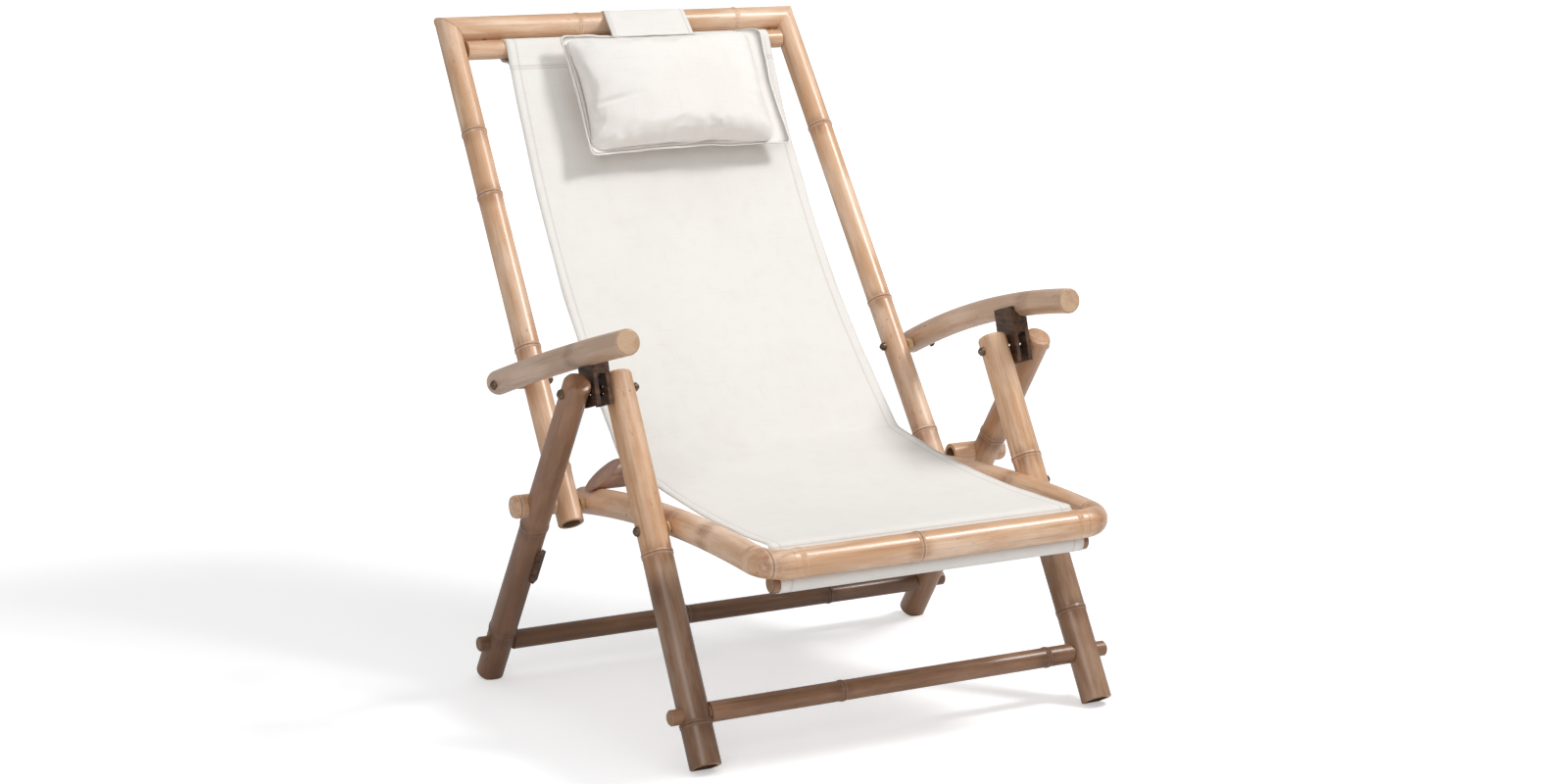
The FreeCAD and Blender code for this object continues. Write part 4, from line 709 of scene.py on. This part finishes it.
OFF_WHITE = hue(238, 235, 230)
LINEN_GREY = hue(206, 198, 188)
sling_cloth, tree, shader, flat, weave = canvas("sling canvas", OFF_WHITE, LINEN_GREY)
split = add_step(tree, "SeparateXYZ", {0: flat}).outputs
from_edge = work_out(tree, "SUBTRACT", HALF_FLAT, work_out(tree, "ABSOLUTE", split["X"]))
hem_off = work_out(tree, "SUBTRACT", from_edge, 0.015)
seam_rows = [stitches(tree, hem_off, split["Y"])]
for distance in (gone[start_row] + 0.030, gone[start_row] + 0.034, gone[front_row] + 0.006):
    seam_rows.append(stitches(tree, work_out(tree, "SUBTRACT", split["Y"], distance), split["X"]))
finish_canvas(tree, shader, weave, seam_rows)
sling.data.materials.append(sling_cloth)
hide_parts("sling")
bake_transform(sling)

# Head pillow
# Small canvas pillow, 0.33 m by 0.19 m, filled with loose fibre. Its two panels are
# sewn together inside a flat piped edge, which is widest at the right. It lies on
# the sling just below the top bar, a little to one side.
PILLOW_MID = Vector((0.040, 0.3754, 0.7923))
up_slope = Vector((0, 0.4511, 0.8925))
outward = Vector((0, -0.8925, 0.4511))
HALF_WIDE = 0.1675
HALF_TALL = 0.0950
SEAM_LEVEL = 0.032
LEAN = 0.005 / 0.19
SEAM_HALF = 0.0015
FRONT_CROWN = 0.040
BACK_CROWN = 0.026
EDGE_SIZES = (HALF_WIDE, HALF_WIDE, HALF_TALL, HALF_TALL)
PANEL_SIZES = (0.1705, 0.143, 0.0965, 0.0945)


def pillow_spot(a, b, c):
    """Pillow place from across, up and out of the sling, in metres."""
    return PILLOW_MID + Vector((a - LEAN * b, 0, 0)) + up_slope * b + outward * c


def pillow_edge(turn, sizes, corner):
    """Point of an outline with drawn-in sides; sizes are left, right, low and high."""
    c = math.cos(turn)
    s = math.sin(turn)
    size = (abs(c) ** corner + abs(s) ** corner) ** (-1.0 / corner)
    a = c * size
    b = s * size
    drawn_a = a * (1 - 0.036 * (1 - b * b))
    drawn_b = b * (1 - 0.060 * (1 - a * a))
    left, right, low, high = sizes
    return drawn_a * (right if a > 0 else left), drawn_b * (high if b > 0 else low)


def even_turns(count, sizes, corner):
    """Turns that put points at even steps along the outline."""
    fine = [pillow_edge(2 * math.pi * k / 2000, sizes, corner) for k in range(2001)]
    walk = [0.0]
    for k in range(2000):
        walk.append(walk[-1] + math.dist(fine[k + 1], fine[k]))
    found = []
    k = 0
    for n in range(count):
        while walk[k + 1] < walk[-1] * n / count:
            k += 1
        found.append(2 * math.pi * k / 2000)
    return found


def crown(a, b):
    """How far a panel stands off the seam, from 0 to 1: steep below, gentle at the left."""
    left, right, low, high = PANEL_SIZES
    u = min(a / right if a > 0 else -a / left, 1.0)
    v = min(b / high if b > 0 else -b / low, 1.0)
    across = (1 - u ** (4.2 if a > 0 else 2.6)) ** 0.55
    if b > 0:
        return across * (1 - v ** 2.8) ** 0.52
    return across * (1 - 0.1 * v * v) * min(1.0, (1 - v) / 0.22) ** 0.8


body_mesh = bmesh.new()
AROUND = 160
turns = even_turns(AROUND, PANEL_SIZES, 14.0)
for side, high in ((1, FRONT_CROWN), (-1, BACK_CROWN)):
    previous = None
    for level in range(13):
        share = 1.0 - level / 13.0
        ring = []
        for turn in turns:
            a, b = pillow_edge(turn, PANEL_SIZES, 2.0 + 12.0 * share ** 1.5)
            a *= share
            b *= share
            rise = SEAM_LEVEL + side * (SEAM_HALF + high * crown(a, b))
            if side > 0 or level > 0:
                ring.append(body_mesh.verts.new(pillow_spot(a, b, rise)))
        if level == 0:
            if side > 0:
                seam_ring = ring
            ring = seam_ring
        if previous is not None:
            for n in range(AROUND):
                m = (n + 1) % AROUND
                corners = (previous[n], previous[m], ring[m], ring[n])
                body_mesh.faces.new(corners if side > 0 else corners[::-1])
        previous = ring
    middle = body_mesh.verts.new(pillow_spot(0, 0, SEAM_LEVEL + side * (SEAM_HALF + high)))
    for n in range(AROUND):
        m = (n + 1) % AROUND
        corners = (previous[n], previous[m], middle)
        body_mesh.faces.new(corners if side > 0 else corners[::-1])
made = bpy.data.meshes.new("head_pillow_cushion")
body_mesh.normal_update()
body_mesh.to_mesh(made)
body_mesh.free()
pillow = bpy.data.objects.new("head_pillow_cushion", made)
bpy.context.scene.collection.objects.link(pillow)


def plump(piece, voxel, pressure, cap, frames=20):
    """Fills a cushion with air: an even mesh, a short cloth run, one subdivision."""
    bpy.context.view_layer.objects.active = piece
    even = piece.modifiers.new("even", "REMESH")
    even.mode = "VOXEL"
    even.voxel_size = voxel
    bpy.ops.object.modifier_apply(modifier=even.name)
    before = [v.co.copy() for v in piece.data.vertices]
    cloth = piece.modifiers.new("cloth", "CLOTH")
    cloth.settings.quality = 6
    cloth.settings.use_pressure = True
    cloth.settings.uniform_pressure_force = pressure
    cloth.settings.effector_weights.gravity = 0
    cloth.settings.bending_stiffness = 0.6
    cloth.point_cache.frame_start = 1
    cloth.point_cache.frame_end = frames
    scene = bpy.context.scene
    for count in range(1, frames + 1):
        scene.frame_set(count)
        bpy.context.view_layer.update()
    seen = piece.evaluated_get(bpy.context.evaluated_depsgraph_get())
    after = [v.co.copy() for v in seen.data.vertices]
    piece.modifiers.remove(cloth)
    scene.frame_set(1)
    for vertex, old, new in zip(piece.data.vertices, before, after):
        move = new - old
        if move.length > cap:
            move = move.normalized() * cap
        vertex.co = old + move
    finer = piece.modifiers.new("finer", "SUBSURF")
    finer.levels = 1
    bpy.ops.object.modifier_apply(modifier=finer.name)


plump(pillow, 0.005, 4.0, 0.006)

# Gathers run in from the seam, mostly at the corners and from the left side. One
# fold starts half way up the left edge.
for vertex in pillow.data.vertices:
    spot = vertex.co - PILLOW_MID
    b = spot.dot(up_slope)
    a = spot.x + LEAN * b
    c = spot.dot(outward)
    u = abs(a + 0.0085) / 0.1495
    v = abs(b) / 0.086
    rim = max(u, v)
    gather = max(0.0, 1 - abs(rim - 0.86) / 0.2)
    along_seam = b if u > v else a
    wave = math.sin(along_seam * 230.0 + 3.0 * noise.noise(Vector((a * 18, b * 18, 1.0))))
    wave *= 0.5 + noise.noise(Vector((a * 12, b * 12, 5.0)))
    folds = noise.noise(Vector((a * 6.0, b * 22.0, 2.0))) * max(0.0, -a / 0.16) * 0.0024
    fold_a = (a + 0.132) / 0.032
    fold_b = (b + 0.024 - 0.12 * (a + 0.132)) / 0.0042
    fold = 0.0052 * math.exp(-fold_a ** 2 - fold_b ** 2) * max(0.0, 1 - rim ** 10)
    soft = noise.noise(Vector((a * 9.0, b * 9.0, 9.0))) * 0.0026
    side = 1.0 if c > SEAM_LEVEL else -0.35
    push = side * (wave * 0.0018 * gather + (folds + soft) * max(0.0, 1 - rim ** 4) - fold)
    vertex.co += outward * push
    # The back of the pillow lies flat on the sling.
    low = (vertex.co - PILLOW_MID).dot(outward)
    rest = 0.0014 + 0.0006 * noise.noise(Vector((a * 20, b * 20, 3.0)))
    if low < rest:
        vertex.co += outward * (rest - low)

# The flat edge and its cord, swept round the seam. Its lower left corner curls out.
trim = bmesh.new()
TRIM = 300
CORD = 0.0021
rings_of = []
for turn in even_turns(TRIM, EDGE_SIZES, 26.0):
    a, b = pillow_edge(turn, EDGE_SIZES, 26.0)
    sewn_a, sewn_b = pillow_edge(turn, PANEL_SIZES, 10.0)
    sewn_a *= 0.94
    sewn_b *= 0.90
    wave = noise.noise(Vector((a * 20.0, b * 20.0, 6.0))) * 0.0036
    wave += noise.noise(Vector((a * 60.0, b * 60.0, 2.0))) * 0.0012
    at_corner = (abs(a) / HALF_WIDE) ** 8 * (abs(b) / HALF_TALL) ** 8
    if a < 0 and b < 0:
        wave += at_corner * 0.011
        a -= at_corner * 0.004
        b -= at_corner * 0.006
    else:
        wave += at_corner * 0.003
    wiggle = noise.noise(Vector((a * 30.0, b * 30.0, 15.0))) * 0.0016
    span = Vector((a - sewn_a, b - sewn_b))
    reach = span.length + wiggle
    span.normalize()
    profile = [(0.0, 0.0009), (reach * 0.5, 0.0011), (reach - 0.0018, 0.0010)]
    for step in range(9):
        round_cord = math.pi * (0.84 - 1.68 * step / 8.0)
        profile.append((reach + CORD * math.cos(round_cord), CORD * math.sin(round_cord)))
    profile += [(reach - 0.0018, -0.0010), (reach * 0.5, -0.0011), (0.0, -0.0009)]
    ring = []
    for r, h in profile:
        lean = max(r, 0.0) / reach
        spot = pillow_spot(sewn_a + span.x * r, sewn_b + span.y * r,
                           SEAM_LEVEL + h + wave * lean ** 1.5)
        ring.append(trim.verts.new(spot))
    rings_of.append(ring)
for n in range(TRIM):
    m = (n + 1) % TRIM
    for k in range(len(profile)):
        j = (k + 1) % len(profile)
        trim.faces.new((rings_of[n][k], rings_of[m][k], rings_of[m][j], rings_of[n][j]))
bmesh.ops.recalc_face_normals(trim, faces=trim.faces)
made = bpy.data.meshes.new("pillow_trim")
trim.to_mesh(made)
trim.free()
trim_piece = bpy.data.objects.new("pillow_trim", made)
bpy.context.scene.collection.objects.link(trim_piece)
bpy.ops.object.select_all(action="DESELECT")
trim_piece.select_set(True)
pillow.select_set(True)
bpy.context.view_layer.objects.active = pillow
bpy.ops.object.join()
if "cloth" not in pillow.data.uv_layers:
    pillow.data.uv_layers.new(name="cloth")
cloth_map = pillow.data.uv_layers["cloth"].data
for face in pillow.data.polygons:
    face.use_smooth = True
    for loop in face.loop_indices:
        spot = pillow.data.vertices[pillow.data.loops[loop].vertex_index].co - PILLOW_MID
        cloth_map[loop].uv = (spot.x, spot.dot(up_slope))
pillow_cloth, tree, shader, flat, weave = canvas("pillow canvas", hue(242, 238, 233),
                                                 hue(208, 196, 188), 0.0010)
finish_canvas(tree, shader, weave, [])
pillow.data.materials.clear()
pillow.data.materials.append(pillow_cloth)
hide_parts("head_pillow")
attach(pillow, "back")

# Pillow strap
# Wide band of the same canvas, 134 mm, sewn to the pillow's upper edge and hung
# over the top rail, its tail loose behind.
RAIL = Vector((0, 0.4508, 0.903))
STRAP_HALF = 0.067
STRAP_COLUMNS = 24
STRAP_THICK = 0.0016
ring_r = 0.0198
low_end = PILLOW_MID + up_slope * 0.087 + outward * (SEAM_LEVEL + 0.0075)
low_end.x = 0
gap_line = RAIL - low_end
way_turn = math.atan2(gap_line.z, gap_line.y) + math.asin(ring_r / gap_line.length)
way = Vector((0, math.cos(way_turn), math.sin(way_turn)))
touch = low_end + way * math.sqrt(gap_line.length ** 2 - ring_r ** 2)
begin = math.atan2((touch - RAIL).z, (touch - RAIL).y)
route = [low_end, low_end.lerp(touch, 0.33), low_end.lerp(touch, 0.66)]
for step in range(9):
    turn = begin * (1 - step / 8.0)
    route.append(RAIL + Vector((0, math.cos(turn), math.sin(turn))) * ring_r)
tail_top = route[-1].copy()
for drop in (0.03, 0.06, 0.09, 0.1165):
    route.append(tail_top + Vector((0, 0.0, -drop)))
strap_rows, strap_long = smooth_path(route, 0.006)
strap_mesh = bmesh.new()
cloth_map = strap_mesh.loops.layers.uv.new("cloth")
grid = []
lengths = [0.0]
for i in range(len(strap_rows) - 1):
    lengths.append(lengths[-1] + (strap_rows[i + 1] - strap_rows[i]).length)
to_rail = (touch - low_end).length
for i, point in enumerate(strap_rows):
    ahead = strap_rows[min(i + 1, len(strap_rows) - 1)] - strap_rows[max(i - 1, 0)]
    face = Vector((0, ahead.z, -ahead.y)).normalized()
    on_rail = math.exp(-((lengths[i] - to_rail - 0.02) / 0.035) ** 2)
    middle = 0.019 + 0.022 * min(lengths[i] / (to_rail + 0.03), 1.0)
    line_of = []
    for k in range(STRAP_COLUMNS + 1):
        u = 2.0 * k / STRAP_COLUMNS - 1.0
        x = middle + STRAP_HALF * u
        lift = abs(noise.noise(Vector((x * 22.0, lengths[i] * 14.0, 3.0)))) * 0.0018
        spot = point - face * lift * (1 - on_rail)
        line_of.append(strap_mesh.verts.new((x, spot.y, spot.z)))
    grid.append(line_of)
for i in range(len(grid) - 1):
    for k in range(STRAP_COLUMNS):
        corners = (grid[i][k], grid[i + 1][k], grid[i + 1][k + 1], grid[i][k + 1])
        quad = strap_mesh.faces.new(corners)
        quad.smooth = True
        for loop, (a, b) in zip(quad.loops, ((i, k), (i + 1, k), (i + 1, k + 1), (i, k + 1))):
            loop[cloth_map].uv = ((2.0 * b / STRAP_COLUMNS - 1.0) * STRAP_HALF, lengths[a])
made = bpy.data.meshes.new("pillow_strap_band")
strap_mesh.normal_update()
strap_mesh.to_mesh(made)
strap_mesh.free()
strap = bpy.data.objects.new("pillow_strap_band", made)
bpy.context.scene.collection.objects.link(strap)
thicken(strap, STRAP_THICK)
strap_cloth, tree, shader, flat, weave = canvas("strap canvas", hue(242, 238, 233),
                                                hue(208, 198, 188), 0.0010)
split = add_step(tree, "SeparateXYZ", {0: flat}).outputs
from_edge = work_out(tree, "SUBTRACT", STRAP_HALF, work_out(tree, "ABSOLUTE", split["X"]))
hem = stitches(tree, work_out(tree, "SUBTRACT", from_edge, 0.006), split["Y"])
end_row = stitches(tree, work_out(tree, "SUBTRACT", split["Y"], strap_long - 0.012), split["X"])
finish_canvas(tree, shader, weave, [hem, end_row])
strap.data.materials.append(strap_cloth)
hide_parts("pillow_strap")
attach(strap, "back")

# Studio
# Pale floor that runs out to a white surround; seen by the camera the floor also glows,
# painted light that is faint near the chair and stronger further out. The main soft light
# stands high on the chair's right, a weaker one in front on the left, and a faint one overhead.
bpy.ops.mesh.primitive_plane_add(size=60, location=(0, 0, 0))
floor = bpy.context.object
floor.name = "studio_floor"
ground = bpy.data.materials.new("studio floor")
ground.use_nodes = True
tree = ground.node_tree
shader = tree.nodes["Principled BSDF"]
shader.inputs["Base Color"].default_value = (0.86, 0.86, 0.87, 1)
shader.inputs["Roughness"].default_value = 0.95
shader.inputs["Specular IOR Level"].default_value = 0.1
spot = add_step(tree, "TexCoord", {}).outputs["Object"]
away = add_step(tree, "VectorMath", {0: spot}, operation="LENGTH").outputs["Value"]
glow = add_step(tree, "Emission", {"Color": (1, 1, 1, 1),
                                   "Strength": fade(tree, away, 0.8, 4.5, 0.42, 0.92)})
both = add_step(tree, "AddShader", {0: shader.outputs[0], 1: glow.outputs[0]})
seen = add_step(tree, "LightPath", {}).outputs["Is Camera Ray"]
mixed = add_step(tree, "MixShader", {0: seen, 1: shader.outputs[0], 2: both.outputs[0]})
tree.links.new(mixed.outputs[0], tree.nodes["Material Output"].inputs["Surface"])
floor.data.materials.append(ground)
floor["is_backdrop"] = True

world = bpy.data.worlds.new("studio")
bpy.context.scene.world = world
world.use_nodes = True
tree = world.node_tree
sky = tree.nodes["Background"]
sky.inputs["Color"].default_value = (1, 1, 1, 1)
sky.inputs["Strength"].default_value = 0.40
bright = add_step(tree, "Background", {"Color": (1, 1, 1, 1), "Strength": 1.0})
seen = add_step(tree, "LightPath", {}).outputs["Is Camera Ray"]
mixed = add_step(tree, "MixShader", {0: seen, 1: sky.outputs[0], 2: bright.outputs[0]})
tree.links.new(mixed.outputs[0], tree.nodes["World Output"].inputs["Surface"])


def soft_light(name, place, target, wide, power):
    data = bpy.data.lights.new(name, "AREA")
    data.shape = "SQUARE"
    data.size = wide
    data.energy = power
    lamp = bpy.data.objects.new(name, data)
    lamp.location = place
    lamp.rotation_euler = (Vector(target) - Vector(place)).to_track_quat("-Z", "Y").to_euler()
    bpy.context.scene.collection.objects.link(lamp)


soft_light("key", (1.9, -1.35, 3.1), (0, 0, 0.4), 0.75, 68)
soft_light("fill", (-2.4, -2.8, 2.0), (0, 0, 0.4), 1.8, 32)
soft_light("top", (0.1, -0.6, 3.6), (0, 0, 0.3), 2.0, 14)

# Camera
# Where the photograph was taken from: in front, 1.1 m up, towards the chair's left.
YAW = 0.5060
PITCH = -0.1723
ROLL = -0.0104
PHOTO_PLACE = (-1.9491, -3.5617, 1.1132)
camera_data = bpy.data.cameras.new("photo view")
camera_data.lens = 67.5
camera_data.sensor_width = 36.0
camera = bpy.data.objects.new("photo view", camera_data)
bpy.context.scene.collection.objects.link(camera)
ahead = Vector((math.sin(YAW) * math.cos(PITCH), math.cos(YAW) * math.cos(PITCH), math.sin(PITCH)))
level = Vector((math.cos(YAW), -math.sin(YAW), 0))
upright = level.cross(ahead)
side_of = level * math.cos(ROLL) + upright * math.sin(ROLL)
top_of = upright * math.cos(ROLL) - level * math.sin(ROLL)
turn = Matrix((side_of, top_of, -ahead)).transposed().to_4x4()
camera.matrix_world = Matrix.Translation(PHOTO_PLACE) @ turn
bpy.context.scene.camera = camera

bpy.context.scene.view_settings.view_transform = "Standard"

low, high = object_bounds()
